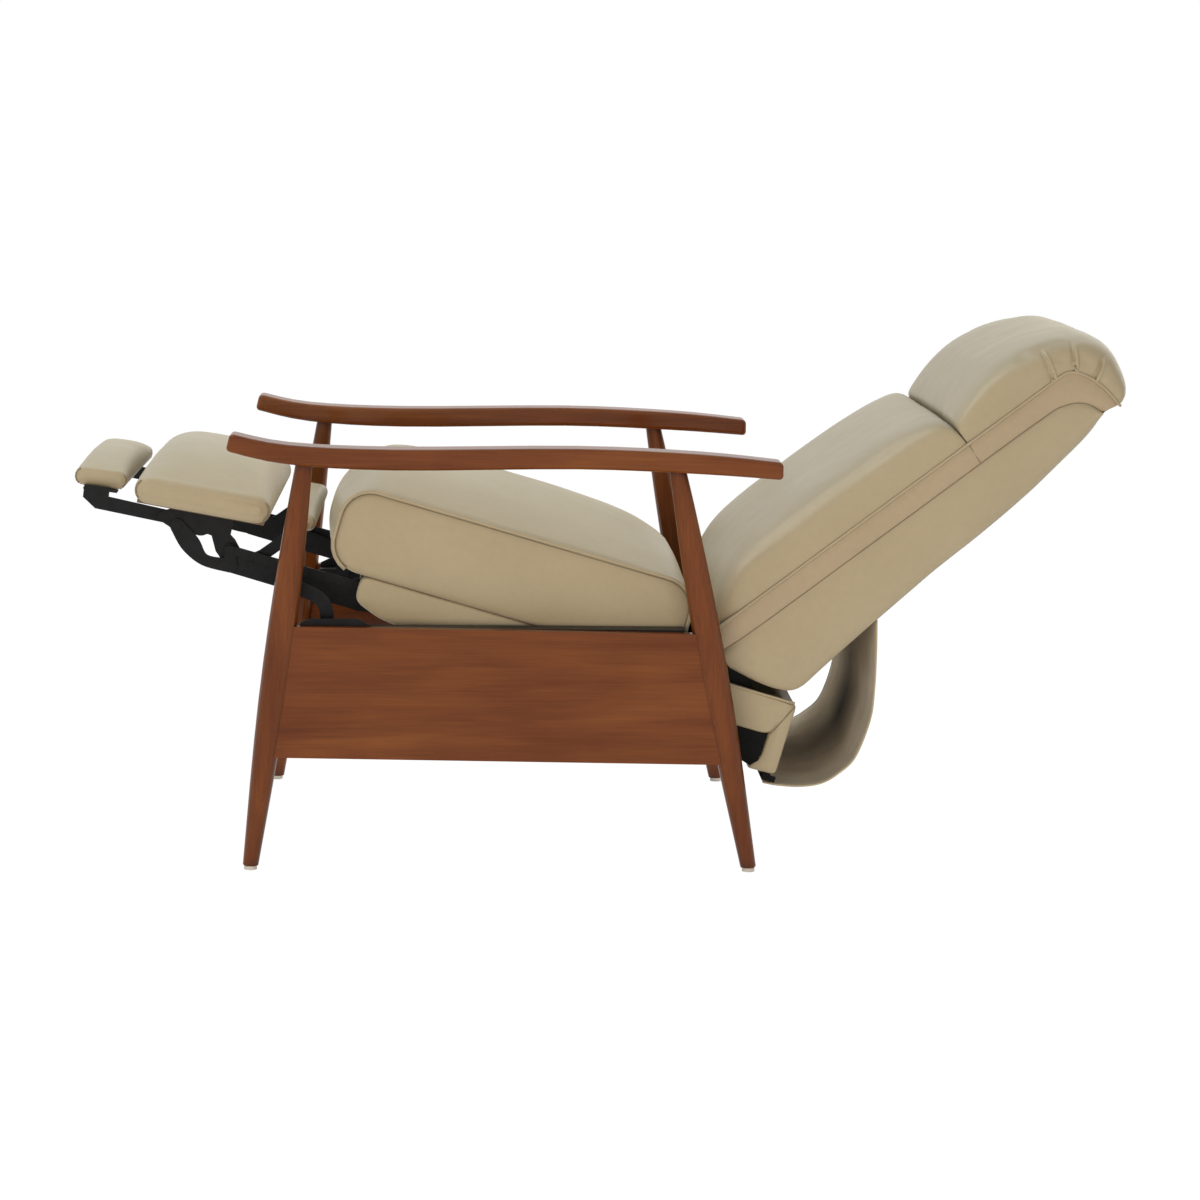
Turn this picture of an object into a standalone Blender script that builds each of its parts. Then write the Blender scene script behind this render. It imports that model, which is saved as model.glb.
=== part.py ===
"""Push-back recliner with an open wooden frame, shown fully reclined with its footrest out.

Metres, +Z up. The chair faces -X and its left side is at -Y. Points written as (x, z) lie in
side view, with x = 0 midway between the feet and z = 0 on the floor.
"""
import math

import bmesh
import bpy
from mathutils import Matrix, Vector
from mathutils.geometry import convex_hull_2d

# Fits
GAP = 0.0003
PIN_CLEARANCE = 0.0003

# Wooden frame, and how far the pieces between the arms stay clear of them
WIDTH = 0.72
ARM_WIDTH = 0.056
BETWEEN_ARMS = WIDTH / 2 - ARM_WIDTH
SEAT_CUSHION_CLEAR = 0.021
BACK_CLEAR = 0.023
FOOTREST_CLEAR = 0.024
SEAT_BOX_CLEAR = 0.029
SLING_CLEAR = 0.042
LINKAGE_CLEAR = 0.0875
ARM_EDGE = 0.006
ARM_FRONT_X = -0.402
ARM_REAR_X = 0.407
ARM_HEIGHT = 0.6285
ARM_THICKNESS = 0.030
ARM_END_THICKNESS = 0.0255
ARM_FRONT_RISE = 0.0196
ARM_REAR_DROP = 0.0156
LEG_FRONT_FOOT_X = -0.369
LEG_FRONT_TOP_X = -0.290
LEG_REAR_FOOT_X = 0.369
LEG_REAR_TOP_X = 0.2545
LEG_FOOT_RADIUS = 0.0115
LEG_BELLY_RADIUS = 0.0212
LEG_TOP_RADIUS = 0.0118
LEG_BELLY_HEIGHT = 0.30
GLIDE_HEIGHT = 0.006
GLIDE_RADIUS = 0.0095
PANEL_THICKNESS = 0.018
PANEL_INSET = 0.015
PANEL_TOP = 0.365
PANEL_DEPTH = 0.195
PANEL_FALL = 0.0075
RAIL_THICKNESS = 0.022
RAIL_HEIGHT = 0.034
FRONT_RAIL_X = -0.050
REAR_RAIL_X = 0.262
RAIL_LIFT = 0.004

# Steel base
STEEL = 0.003
BASE_RAIL_TOP = 0.361
BASE_RAIL_DROP = 0.026
BASE_RAIL_FLANGE = 0.033
BASE_RAIL_FRONT_X = -0.296
BASE_RAIL_REAR_X = 0.268
BASE_RAIL_LUG_LENGTH = 0.110
BASE_RAIL_LUG_RISE = 0.013
PIVOT_BRACKET_WIDTH = 0.056
TUBE_RADIUS = 0.010
STOP_PATH = [(-0.259, 0.350), (-0.259, 0.380), (-0.270, 0.400), (-0.303, 0.415)]
STOP_HALF = 0.010

# Joint axes in side view, in the photographed position
SEAT_PIVOT = (0.100, 0.255)
BACK_PIVOT = (0.335, 0.325)
MAIN_PIVOT = (-0.215, 0.385)
CONTROL_PIVOT = (-0.215, 0.409)
LIFT_PIVOT = (-0.375, 0.440)
PARALLEL_PIVOT = (-0.405, 0.438)
FOOTREST_PIVOT = (-0.449, 0.499)
PARALLEL_END = (-0.4835, 0.497)
FLAP_PIVOT = (-0.503, 0.510)

# Linkage plates, in layers outwards from the flap
LAYER_START = BETWEEN_ARMS - LINKAGE_CLEAR
LAYER_PITCH = 0.004
LINK_PIN = 0.0045
LINK_HALF = 0.011
MAIN_LINK_HALF = 0.014
LIFT_LINK_HALF = 0.0170
PARALLEL_LINK_HALF = 0.0108
PARALLEL_LINK_WAIST = 0.0088
PARALLEL_LINK_SHOULDER = 0.0145
PARALLEL_LINK_SAG = 0.0165
CONTROL_LINK_HALF = 0.0068
RIVET_RADIUS = 0.0065
RIVET_HEIGHT = 0.0018

# Seat, along its own tilted axis from the front top edge of the box
SEAT_FRONT_TOP = (-0.208, 0.432)
SEAT_TILT = 16.0
SEAT_HALF = BETWEEN_ARMS - SEAT_BOX_CLEAR
SEAT_BOX_LENGTH = 0.678
SEAT_SIDE_THICKNESS = 0.025
SEAT_SIDE_DEPTH = 0.060
SEAT_SIDE_NOSE = 0.040
SEAT_REAR_THICKNESS = 0.030
SEAT_REAR_DEPTH = 0.117
SEAT_REAR_SET = 0.004
SEAT_FRONT_RAIL = 0.020
SEAT_DECK = 0.012
SEAT_DECK_LENGTH = 0.48
SEAT_PLATE_DEPTH = 0.040
SEAT_CUSHION_FRONT = -0.055
SEAT_CUSHION_REAR = 0.484
SEAT_CUSHION_THICKNESS = 0.1255
SEAT_CUSHION_CROWN = 0.048
SEAT_CUSHION_BULGE = 0.020
SEAT_CUSHION_HALF = BETWEEN_ARMS - SEAT_CUSHION_CLEAR

# Back, along its own axis from the lower end of the side welt
BACK_FOOT = (0.326, 0.366)
BACK_ANGLE = 37.2
BACK_HALF = BETWEEN_ARMS - BACK_CLEAR
BACK_WELT = -0.004
BACK_LENGTH = 0.664
BACK_END_LENGTH = 0.042
BACK_END_DEPTH = 0.086
BACK_LIP = 0.026
BACK_TOP_DEPTH = 0.100
BACK_BOTTOM_DEPTH = 0.150
BACK_CUSHION_LENGTH = 0.450
BACK_CUSHION_EDGE = 0.030
BACK_CUSHION_CROWN = 0.060
PILLOW_EDGE = 0.040
PILLOW_CROWN = 0.044
PILLOW_OVERHANG = 0.032
SEAM_GAP = 0.0025

# Footrest, flap and filler pads: rear lower corner, tilt and sizes
FOOTREST_CORNER = (-0.345, 0.5025)
FOOTREST_TILT = 10.1
FOOTREST_LENGTH = 0.2045
FOOTREST_EDGE = 0.042
FOOTREST_CROWN = 0.042
FOOTREST_HALF = BETWEEN_ARMS - FOOTREST_CLEAR
FLAP_CORNER = (-0.562, 0.5455)
FLAP_TILT = 7.0
FLAP_LENGTH = 0.078
FLAP_EDGE = 0.028
FLAP_CROWN = 0.014
FLAP_ARM_DROP = 0.020
FLAP_WEB_LAP = 0.004
FLAP_HALF = LAYER_START - 0.0195
FILLER_CORNER = (-0.281, 0.4850)
FILLER_TILT = 10.0
FILLER_LENGTH = 0.042
FILLER_EDGE = 0.026
FILLER_CROWN = 0.005
FILLER_HALF = LAYER_START - 0.0085
FILLER_PIN = 0.003
BOARD = 0.010
BOARD_INSET = 0.008

# Leather sling between the seat box and the outside of the back
SLING_THICKNESS = 0.003
SLING_HALF = BETWEEN_ARMS - SLING_CLEAR
SLING_LOW = 0.1185
SLING_REACH = 0.557
SLING_BACK_AT = 0.187

SIDES = {"left": -1, "right": 1}
LEG_Y = WIDTH / 2 - ARM_WIDTH / 2
PANEL_OUTER = WIDTH / 2 - PANEL_INSET
PANEL_INNER = PANEL_OUTER - PANEL_THICKNESS

for old in list(bpy.data.objects):
    bpy.data.objects.remove(old, do_unlink=True)

PARTS = bpy.data.collections.new("recliner")
CUTTERS = bpy.data.collections.new("cutters")
bpy.context.scene.collection.children.link(PARTS)
bpy.context.scene.collection.children.link(CUTTERS)


# Materials
def material(name, colour, roughness, metallic=0.0):
    made = bpy.data.materials.new(name)
    made.use_nodes = True
    shader = made.node_tree.nodes["Principled BSDF"]
    shader.inputs["Base Color"].default_value = (*colour, 1.0)
    shader.inputs["Roughness"].default_value = roughness
    shader.inputs["Metallic"].default_value = metallic
    return made


WOOD = material("lacquered_wood", (0.16, 0.055, 0.02), 0.30)
PLYWOOD = material("plywood", (0.55, 0.40, 0.24), 0.60)
LEATHER = material("beige_leather", (0.41, 0.34, 0.22), 0.50)
SUEDE = material("leather_flesh_side", (0.10, 0.075, 0.05), 0.85)
BLACK_STEEL = material("black_steel", (0.02, 0.02, 0.02), 0.45, 0.6)
PLASTIC = material("white_plastic", (0.64, 0.61, 0.55), 0.50)


# Points in side view
def seat_point(along, up):
    tilt = math.radians(SEAT_TILT)
    x = SEAT_FRONT_TOP[0] + along * math.cos(tilt) + up * math.sin(tilt)
    z = SEAT_FRONT_TOP[1] - along * math.sin(tilt) + up * math.cos(tilt)
    return (x, z)


def seat_coordinates(point):
    tilt = math.radians(SEAT_TILT)
    dx = point[0] - SEAT_FRONT_TOP[0]
    dz = point[1] - SEAT_FRONT_TOP[1]
    return (dx * math.cos(tilt) - dz * math.sin(tilt), dx * math.sin(tilt) + dz * math.cos(tilt))


def back_point(along, up):
    angle = math.radians(BACK_ANGLE)
    x = BACK_FOOT[0] + along * math.cos(angle) - up * math.sin(angle)
    z = BACK_FOOT[1] + along * math.sin(angle) + up * math.cos(angle)
    return (x, z)


def pad_point(corner, tilt_degrees):
    tilt = math.radians(tilt_degrees)

    def place(along, up):
        x = corner[0] - along * math.cos(tilt) + up * math.sin(tilt)
        z = corner[1] + along * math.sin(tilt) + up * math.cos(tilt)
        return (x, z)

    return place


def along_line(start, end, share):
    return (start[0] + (end[0] - start[0]) * share, start[1] + (end[1] - start[1]) * share)


def arc(centre, radius, start, end, count):
    points = []
    for step in range(count + 1):
        angle = math.radians(start + (end - start) * step / count)
        points.append((centre[0] + radius * math.cos(angle), centre[1] + radius * math.sin(angle)))
    return points


def smooth(points, steps):
    """Open curve through the points, sampled with a fixed number of steps a span."""
    curve = []
    for i in range(len(points) - 1):
        p0 = Vector(points[max(i - 1, 0)])
        p1 = Vector(points[i])
        p2 = Vector(points[i + 1])
        p3 = Vector(points[min(i + 2, len(points) - 1)])
        for step in range(steps):
            t = step / steps
            curve.append(tuple(0.5 * (2 * p1 + (p2 - p0) * t + (2 * p0 - 5 * p1 + 4 * p2 - p3) * t ** 2
                                      + (3 * p1 - p0 - 3 * p2 + p3) * t ** 3)))
    curve.append(tuple(points[-1]))
    return curve


def bar(path, half, round_start=True, round_end=True):
    """Outline of a strip along a path, with one half-width or one for each point."""
    halves = half if isinstance(half, list) else [half] * len(path)
    left = []
    right = []
    for i, point in enumerate(path):
        before = Vector(path[max(i - 1, 0)])
        after = Vector(path[min(i + 1, len(path) - 1)])
        run = (after - before).normalized()
        side = Vector((-run.y, run.x)) * halves[i]
        left.append((point[0] + side.x, point[1] + side.y))
        right.append((point[0] - side.x, point[1] - side.y))
    outline = list(right)
    if round_end:
        run = Vector(path[-1]) - Vector(path[-2])
        heading = math.degrees(math.atan2(run.y, run.x))
        outline += arc(path[-1], halves[-1], heading - 90, heading + 90, 8)[1:-1]
    outline += reversed(left)
    if round_start:
        run = Vector(path[1]) - Vector(path[0])
        heading = math.degrees(math.atan2(run.y, run.x))
        outline += arc(path[0], halves[0], heading + 90, heading + 270, 8)[1:-1]
    return outline


def hull(circles, count=20):
    """Outline of a belt round circles given as (centre, radius)."""
    points = []
    for centre, radius in circles:
        points += arc(centre, radius, 0, 360, count)[:-1]
    return [points[i] for i in convex_hull_2d(points)]


def layer(number):
    start = LAYER_START + number * LAYER_PITCH
    return (start, start + STEEL)


# Solids
def add(name, mesh, finish, collection=PARTS):
    made = bpy.data.objects.new(name, mesh)
    collection.objects.link(made)
    if finish:
        mesh.materials.clear()
        mesh.materials.append(finish)
    return made


def tidy(mesh):
    shape = bmesh.new()
    shape.from_mesh(mesh)
    bmesh.ops.remove_doubles(shape, verts=shape.verts, dist=0.00001)
    bmesh.ops.recalc_face_normals(shape, faces=shape.faces)
    shape.to_mesh(mesh)
    shape.free()
    mesh.set_sharp_from_angle(angle=math.radians(35))


def baked(source):
    """Mesh of an object as its modifiers show it, in world space."""
    bpy.context.view_layer.update()
    shown = source.evaluated_get(bpy.context.evaluated_depsgraph_get())
    mesh = bpy.data.meshes.new_from_object(shown)
    mesh.transform(source.matrix_world)
    data = source.data
    bpy.data.objects.remove(source, do_unlink=True)
    if isinstance(data, bpy.types.Curve):
        bpy.data.curves.remove(data)
    else:
        bpy.data.meshes.remove(data)
    tidy(mesh)
    return mesh


def prism(outlines, low, high, axis="Y"):
    """Mesh of a flat outline, with later outlines as holes, between two planes on an axis."""
    curve = bpy.data.curves.new("outline", "CURVE")
    curve.dimensions = "2D"
    curve.fill_mode = "BOTH"
    curve.extrude = (high - low) / 2
    for outline in outlines:
        spline = curve.splines.new("POLY")
        spline.points.add(len(outline) - 1)
        for target, point in zip(spline.points, outline):
            target.co = (point[0], point[1], 0, 1)
        spline.use_cyclic_u = True
    flat = bpy.data.objects.new("outline", curve)
    bpy.context.scene.collection.objects.link(flat)
    middle = (low + high) / 2
    if axis == "Y":
        flat.matrix_world = Matrix(((1, 0, 0, 0), (0, 0, -1, middle), (0, 1, 0, 0), (0, 0, 0, 1)))
    else:
        flat.matrix_world = Matrix(((0, 0, 1, middle), (1, 0, 0, 0), (0, 1, 0, 0), (0, 0, 0, 1)))
    return baked(flat)


def rod(point, radius, low, high, sides=20):
    """Round bar along Y."""
    shape = bmesh.new()
    bmesh.ops.create_cone(shape, cap_ends=True, segments=sides, radius1=radius, radius2=radius,
                          depth=high - low)
    turn = Matrix.Translation((point[0], (low + high) / 2, point[1])) @ Matrix.Rotation(math.pi / 2, 4, "X")
    bmesh.ops.transform(shape, matrix=turn, verts=shape.verts)
    mesh = bpy.data.meshes.new("rod")
    shape.to_mesh(mesh)
    shape.free()
    return mesh


def combine(target, meshes, operation):
    """Fuse meshes into an object, or cut them out of it."""
    for mesh in meshes:
        tool = add("tool", mesh, None, CUTTERS)
        tool.hide_render = True
        tool.display_type = "WIRE"
        joint = target.modifiers.new(operation.lower(), "BOOLEAN")
        joint.operation = operation
        joint.object = tool
        bpy.context.view_layer.update()
        shown = target.evaluated_get(bpy.context.evaluated_depsgraph_get())
        result = bpy.data.meshes.new_from_object(shown)
        target.modifiers.clear()
        old = target.data
        target.data = result
        bpy.data.meshes.remove(old)
        bpy.data.objects.remove(tool, do_unlink=True)
    tidy(target.data)


def join_flat_faces(mesh):
    """Leave one face on each flat side, so that its edges can be rounded evenly."""
    shape = bmesh.new()
    shape.from_mesh(mesh)
    bmesh.ops.dissolve_limit(shape, angle_limit=math.radians(0.05), verts=shape.verts, edges=shape.edges)
    shape.to_mesh(mesh)
    shape.free()


def round_edges(target, width, segments=2, angle=40):
    bevel = target.modifiers.new("rounded edges", "BEVEL")
    bevel.width = width
    bevel.segments = segments
    bevel.limit_method = "ANGLE"
    bevel.angle_limit = math.radians(angle)


def span(side, inner, outer):
    """Low and high Y of a plate between two distances from the middle, on one side."""
    return (inner, outer) if side > 0 else (-outer, -inner)


def plate(name, outline, holes, inner, outer, side, pins=(), finish=BLACK_STEEL):
    """Steel plate with round holes and with pins fused to it, given as (point, radius, inner, outer)."""
    rings = [outline]
    for point, radius in holes:
        rings.append(arc(point, radius, 0, 360, 16)[:-1])
    made = add(name, prism(rings, *span(side, inner, outer)), finish)
    combine(made, [rod(point, radius, *span(side, low, high), 14) for point, radius, low, high in pins], "UNION")
    return made


def loft(name, sections, finish):
    """Closed skin over matching closed sections, each a list of points in space."""
    shape = bmesh.new()
    rings = [[shape.verts.new(point) for point in section] for section in sections]
    count = len(rings[0])
    for near, far in zip(rings, rings[1:]):
        for i in range(count):
            j = (i + 1) % count
            shape.faces.new((near[i], near[j], far[j], far[i]))
    shape.faces.new(rings[0])
    shape.faces.new(reversed(rings[-1]))
    bmesh.ops.recalc_face_normals(shape, faces=shape.faces)
    mesh = bpy.data.meshes.new(name)
    shape.to_mesh(mesh)
    shape.free()
    mesh.shade_smooth()
    return add(name, mesh, finish)


def soft_stations(half, edge, count=9):
    """Stations across a cushion: (y, share of the crown, how far the rim draws in)."""
    stations = []
    for step in range(4):
        turn = math.radians(90 * step / 3)
        stations.append((-half + edge * (1 - math.sin(turn)), edge * (1 - math.cos(turn))))
    stations.reverse()
    flat = [(-half + edge + (half - edge) * 2 * i / count, 0.0) for i in range(1, count)]
    rim = stations[::-1]
    ordered = [(y, inset) for y, inset in sorted(stations)] + flat + [(-y, inset) for y, inset in rim]
    return [(y, 1 - abs(y / half) ** 2.4, inset) for y, inset in ordered]


def pad_section(length, edge, crown, bulge, radius, inset, share, base, full_rear, full_front):
    """Side view of a cushion in its own axes: flat base, rounded ends and a crowned top."""
    low = base
    high = base + edge - inset
    front = length - inset
    rear = inset
    corner = min(radius, (high - low) / 2 - 0.0005)
    points = arc((rear + corner, low + corner), corner, 180, 270, 4)
    points += arc((front - corner, low + corner), corner, 270, 360, 4)
    points += arc((front - corner, high - corner), corner, 0, 90, 4)
    points += [(front - corner + (rear - front + 2 * corner) * i / 6, high) for i in range(1, 6)]
    points += arc((rear + corner, high - corner), corner, 90, 180, 4)
    shaped = []
    for along, up in points:
        across = (along - length / 2) / (length / 2)
        rise = (up - low) / (high - low)
        fullness = full_front if across > 0 else full_rear
        lift = crown * share * max(0.0, 1 - abs(across) ** fullness) * rise
        push = bulge * share * math.sin(math.pi * min(max(rise, 0.0), 1.0)) * max(across, 0.0)
        shaped.append((along + push, up + lift))
    return shaped


def cushion(name, place, length, edge, crown, radius, half, rim, base=0.0, bulge=0.0, full_rear=4, full_front=4):
    sections = []
    for y, share, inset in soft_stations(half, rim):
        flat = pad_section(length, edge, crown, bulge, radius, inset, share, base, full_rear, full_front)
        sections.append([(place(along, up)[0], y, place(along, up)[1]) for along, up in flat])
    return loft(name, sections, LEATHER)


# Bodies: an empty on each joint's axis carries the pieces that turn about it
ROOT = bpy.data.objects.new("recliner", None)
PARTS.objects.link(ROOT)


def carry(body, pivot, parent, pieces):
    holder = bpy.data.objects.new(body, None)
    PARTS.objects.link(holder)
    holder.parent = parent
    origin = Vector((pivot[0], 0, pivot[1]))
    holder.location = origin - CENTRES.get(parent.name, Vector((0, 0, 0)))
    CENTRES[body] = origin
    for piece in pieces:
        piece.data.transform(Matrix.Translation(-origin))
        piece.parent = holder
    return holder


CENTRES = {}


# Wooden frame
def arm_curves():
    """Upper and lower edges of an arm from front to rear: an upturned tip and a drooping tail."""
    length = ARM_REAR_X - ARM_FRONT_X
    top = [(ARM_FRONT_X + 0.006, ARM_HEIGHT + ARM_FRONT_RISE),
           (ARM_FRONT_X + 0.11 * length, ARM_HEIGHT + 0.20 * ARM_FRONT_RISE),
           (ARM_FRONT_X + 0.30 * length, ARM_HEIGHT - 0.0015),
           (ARM_FRONT_X + 0.63 * length, ARM_HEIGHT + 0.002),
           (ARM_FRONT_X + 0.85 * length, ARM_HEIGHT - 0.28 * ARM_REAR_DROP),
           (ARM_REAR_X, ARM_HEIGHT - ARM_REAR_DROP)]
    thickness = [ARM_END_THICKNESS, ARM_THICKNESS * 0.95, ARM_THICKNESS * 1.02, ARM_THICKNESS,
                 ARM_THICKNESS * 0.97, ARM_END_THICKNESS]
    bottom = [(x, z - deep) for (x, z), deep in zip(top, thickness)]
    bottom[0] = (ARM_FRONT_X, bottom[0][1])
    return smooth(top, 4), smooth(bottom, 4)


def height_on(curve, x):
    for (x0, z0), (x1, z1) in zip(curve, curve[1:]):
        if x0 <= x <= x1:
            slope = (z1 - z0) / (x1 - x0)
            return z0 + slope * (x - x0), slope
    raise ValueError("x is off the curve")


def arm(label, side):
    top, bottom = arm_curves()
    outline = list(reversed(top)) + bottom
    made = add("arm_" + label, prism([outline], *span(side, WIDTH / 2 - ARM_WIDTH, WIDTH / 2)), WOOD)
    join_flat_faces(made.data)
    round_edges(made, ARM_EDGE, 3)
    return made


def leg_axis(foot_x, top_x):
    seat, slope = height_on(arm_curves()[1], top_x)
    return Vector((foot_x, 0, GLIDE_HEIGHT)), Vector((top_x, 0, seat)), slope


def leg_mesh(foot_x, top_x, side, swell=0.0):
    """Turned leg: slim at the foot and under the arm, fullest behind the side panel."""
    foot, top, slope = leg_axis(foot_x, top_x)
    length = (top - foot).length + 0.01
    share = LEG_BELLY_HEIGHT / top.z
    profile = []
    rings = 10
    for i in range(rings + 1):
        t = i / rings
        if t < share:
            grow = math.sin(math.pi / 2 * t / share) ** 1.1
            radius = LEG_FOOT_RADIUS + (LEG_BELLY_RADIUS - LEG_FOOT_RADIUS) * grow
        else:
            grow = math.cos(math.pi / 2 * (t - share) / (1 - share)) ** 0.9
            radius = LEG_TOP_RADIUS + (LEG_BELLY_RADIUS - LEG_TOP_RADIUS) * grow
        profile.append((radius + swell, t * length))
    outline = [(0, length)] + list(reversed(profile)) + [(0, 0)]
    mesh = bpy.data.meshes.new("leg")
    mesh.from_pydata([(r, 0, z) for r, z in outline], [(i, i + 1) for i in range(len(outline) - 1)], [])
    turned = add("leg_blank", mesh, None)
    screw = turned.modifiers.new("turning", "SCREW")
    screw.steps = 20
    screw.render_steps = 20
    screw.use_merge_vertices = True
    screw.merge_threshold = 0.0001
    lean = Vector((0, 0, 1)).rotation_difference((top - foot).normalized()).to_matrix().to_4x4()
    turned.matrix_world = Matrix.Translation((foot.x, side * LEG_Y, foot.z)) @ lean
    mesh = baked(turned)
    trim_leg(mesh, Vector((0, 0, GLIDE_HEIGHT)), Vector((0, 0, -1)))
    trim_leg(mesh, Vector((top.x, 0, top.z - GAP)), Vector((-slope, 0, 1)))
    return mesh


def trim_leg(mesh, point, outside):
    """Saw an end of the leg off square to the floor or to the underside of the arm."""
    shape = bmesh.new()
    shape.from_mesh(mesh)
    faces = shape.verts[:] + shape.edges[:] + shape.faces[:]
    bmesh.ops.bisect_plane(shape, geom=faces, plane_co=point, plane_no=outside, clear_outer=True)
    loose = [edge for edge in shape.edges if edge.is_boundary]
    if loose:
        bmesh.ops.contextual_create(shape, geom=loose)
    bmesh.ops.recalc_face_normals(shape, faces=shape.faces)
    shape.to_mesh(mesh)
    shape.free()
    mesh.set_sharp_from_angle(angle=math.radians(35))


def panel_corner(height, end):
    """Point on a leg's axis at a height, for the front or the rear leg."""
    foot_x, top_x = LEGS[end]
    foot, top, slope = leg_axis(foot_x, top_x)
    share = (height - foot.z) / (top.z - foot.z)
    return (foot.x + (top.x - foot.x) * share, height)


LEGS = {"front": (LEG_FRONT_FOOT_X, LEG_FRONT_TOP_X), "rear": (LEG_REAR_FOOT_X, LEG_REAR_TOP_X)}


def side_panel(label, side):
    outline = [panel_corner(PANEL_TOP, "front"),
               panel_corner(PANEL_TOP - PANEL_DEPTH, "front"),
               panel_corner(PANEL_TOP - PANEL_DEPTH - PANEL_FALL, "rear"),
               panel_corner(PANEL_TOP - PANEL_FALL, "rear")]
    made = add("side_panel_" + label, prism([outline], *span(side, PANEL_INNER, PANEL_OUTER)), WOOD)
    combine(made, [leg_mesh(*LEGS[end], side, GAP) for end in LEGS], "DIFFERENCE")
    return made


def cross_rail(name, x):
    low = PANEL_TOP - PANEL_DEPTH + RAIL_LIFT
    half = RAIL_THICKNESS / 2
    outline = [(x - half, low), (x + half, low), (x + half, low + RAIL_HEIGHT), (x - half, low + RAIL_HEIGHT)]
    made = add(name, prism([outline], GAP - PANEL_INNER, PANEL_INNER - GAP), WOOD)
    round_edges(made, 0.003)
    return made


def glide(name, foot_x, side):
    shape = bmesh.new()
    bmesh.ops.create_cone(shape, cap_ends=True, segments=20, radius1=GLIDE_RADIUS, radius2=GLIDE_RADIUS,
                          depth=GLIDE_HEIGHT - GAP)
    bmesh.ops.translate(shape, verts=shape.verts, vec=(foot_x, side * LEG_Y, (GLIDE_HEIGHT - GAP) / 2))
    mesh = bpy.data.meshes.new(name)
    shape.to_mesh(mesh)
    shape.free()
    return add(name, mesh, PLASTIC)


def frame_pieces():
    pieces = []
    for label, side in SIDES.items():
        pieces.append(arm(label, side))
        for end, (foot_x, top_x) in LEGS.items():
            leg = add("leg_%s_%s" % (end, label), leg_mesh(foot_x, top_x, side), WOOD)
            pieces.append(leg)
            pieces.append(glide("glide_%s_%s" % (end, label), foot_x, side))
        pieces.append(side_panel(label, side))
    pieces.append(cross_rail("front_rail", FRONT_RAIL_X))
    pieces.append(cross_rail("rear_rail", REAR_RAIL_X))
    return pieces


# Steel base under the seat
def base_rail(label, side):
    """Angle iron screwed to the inside of a side panel."""
    wall = PANEL_INNER - GAP
    inner = wall - BASE_RAIL_FLANGE
    low = BASE_RAIL_TOP - BASE_RAIL_DROP
    outline = [(inner, BASE_RAIL_TOP), (inner, BASE_RAIL_TOP - STEEL), (wall - STEEL, BASE_RAIL_TOP - STEEL),
               (wall - STEEL, low), (wall, low), (wall, BASE_RAIL_TOP)]
    outline = [(side * y, z) for y, z in outline]
    made = add("base_rail_" + label, prism([outline], BASE_RAIL_FRONT_X, BASE_RAIL_REAR_X, "X"), BLACK_STEEL)
    end = BASE_RAIL_FRONT_X + BASE_RAIL_LUG_LENGTH
    top = BASE_RAIL_TOP + BASE_RAIL_LUG_RISE
    lug = [(BASE_RAIL_FRONT_X, low), (end, low), (end, top - BASE_RAIL_LUG_RISE), (end - 2 * BASE_RAIL_LUG_RISE, top),
           (BASE_RAIL_FRONT_X + BASE_RAIL_LUG_RISE, top), (BASE_RAIL_FRONT_X, top - BASE_RAIL_LUG_RISE / 2)]
    combine(made, [prism([lug], *span(side, wall - STEEL, wall))], "UNION")
    return made


def pivot_bracket(label, side):
    """Hanger under the base rail that holds the seat's pivot tube."""
    outer = PANEL_INNER - GAP - STEEL - GAP
    top = BASE_RAIL_TOP - STEEL - GAP
    x, z = SEAT_PIVOT
    half = PIVOT_BRACKET_WIDTH / 2
    ear = TUBE_RADIUS + 0.012
    outline = [(x + half, top), (x - half, top)] + arc(SEAT_PIVOT, ear, 180, 360, 10)
    hole = (SEAT_PIVOT, TUBE_RADIUS + PIN_CLEARANCE)
    return plate("pivot_bracket_" + label, outline, [hole], outer - STEEL, outer, side)


def front_stop(label, side):
    """Hooked stop at the front end of the base rail."""
    outer = PANEL_INNER - GAP - BASE_RAIL_FLANGE - GAP
    outline = bar(smooth(STOP_PATH, 5), STOP_HALF)
    rivet = (STOP_PATH[-1], RIVET_RADIUS, outer - STEEL / 2, outer + RIVET_HEIGHT)
    return plate("front_stop_" + label, outline, [], outer - STEEL, outer, side, [rivet])


def base_pieces():
    pieces = []
    for label, side in SIDES.items():
        pieces.append(base_rail(label, side))
        pieces.append(pivot_bracket(label, side))
        pieces.append(front_stop(label, side))
    reach = PANEL_INNER - GAP - STEEL - 2 * GAP
    pieces.append(add("pivot_tube", rod(SEAT_PIVOT, TUBE_RADIUS, -reach, reach), BLACK_STEEL))
    return pieces


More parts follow.
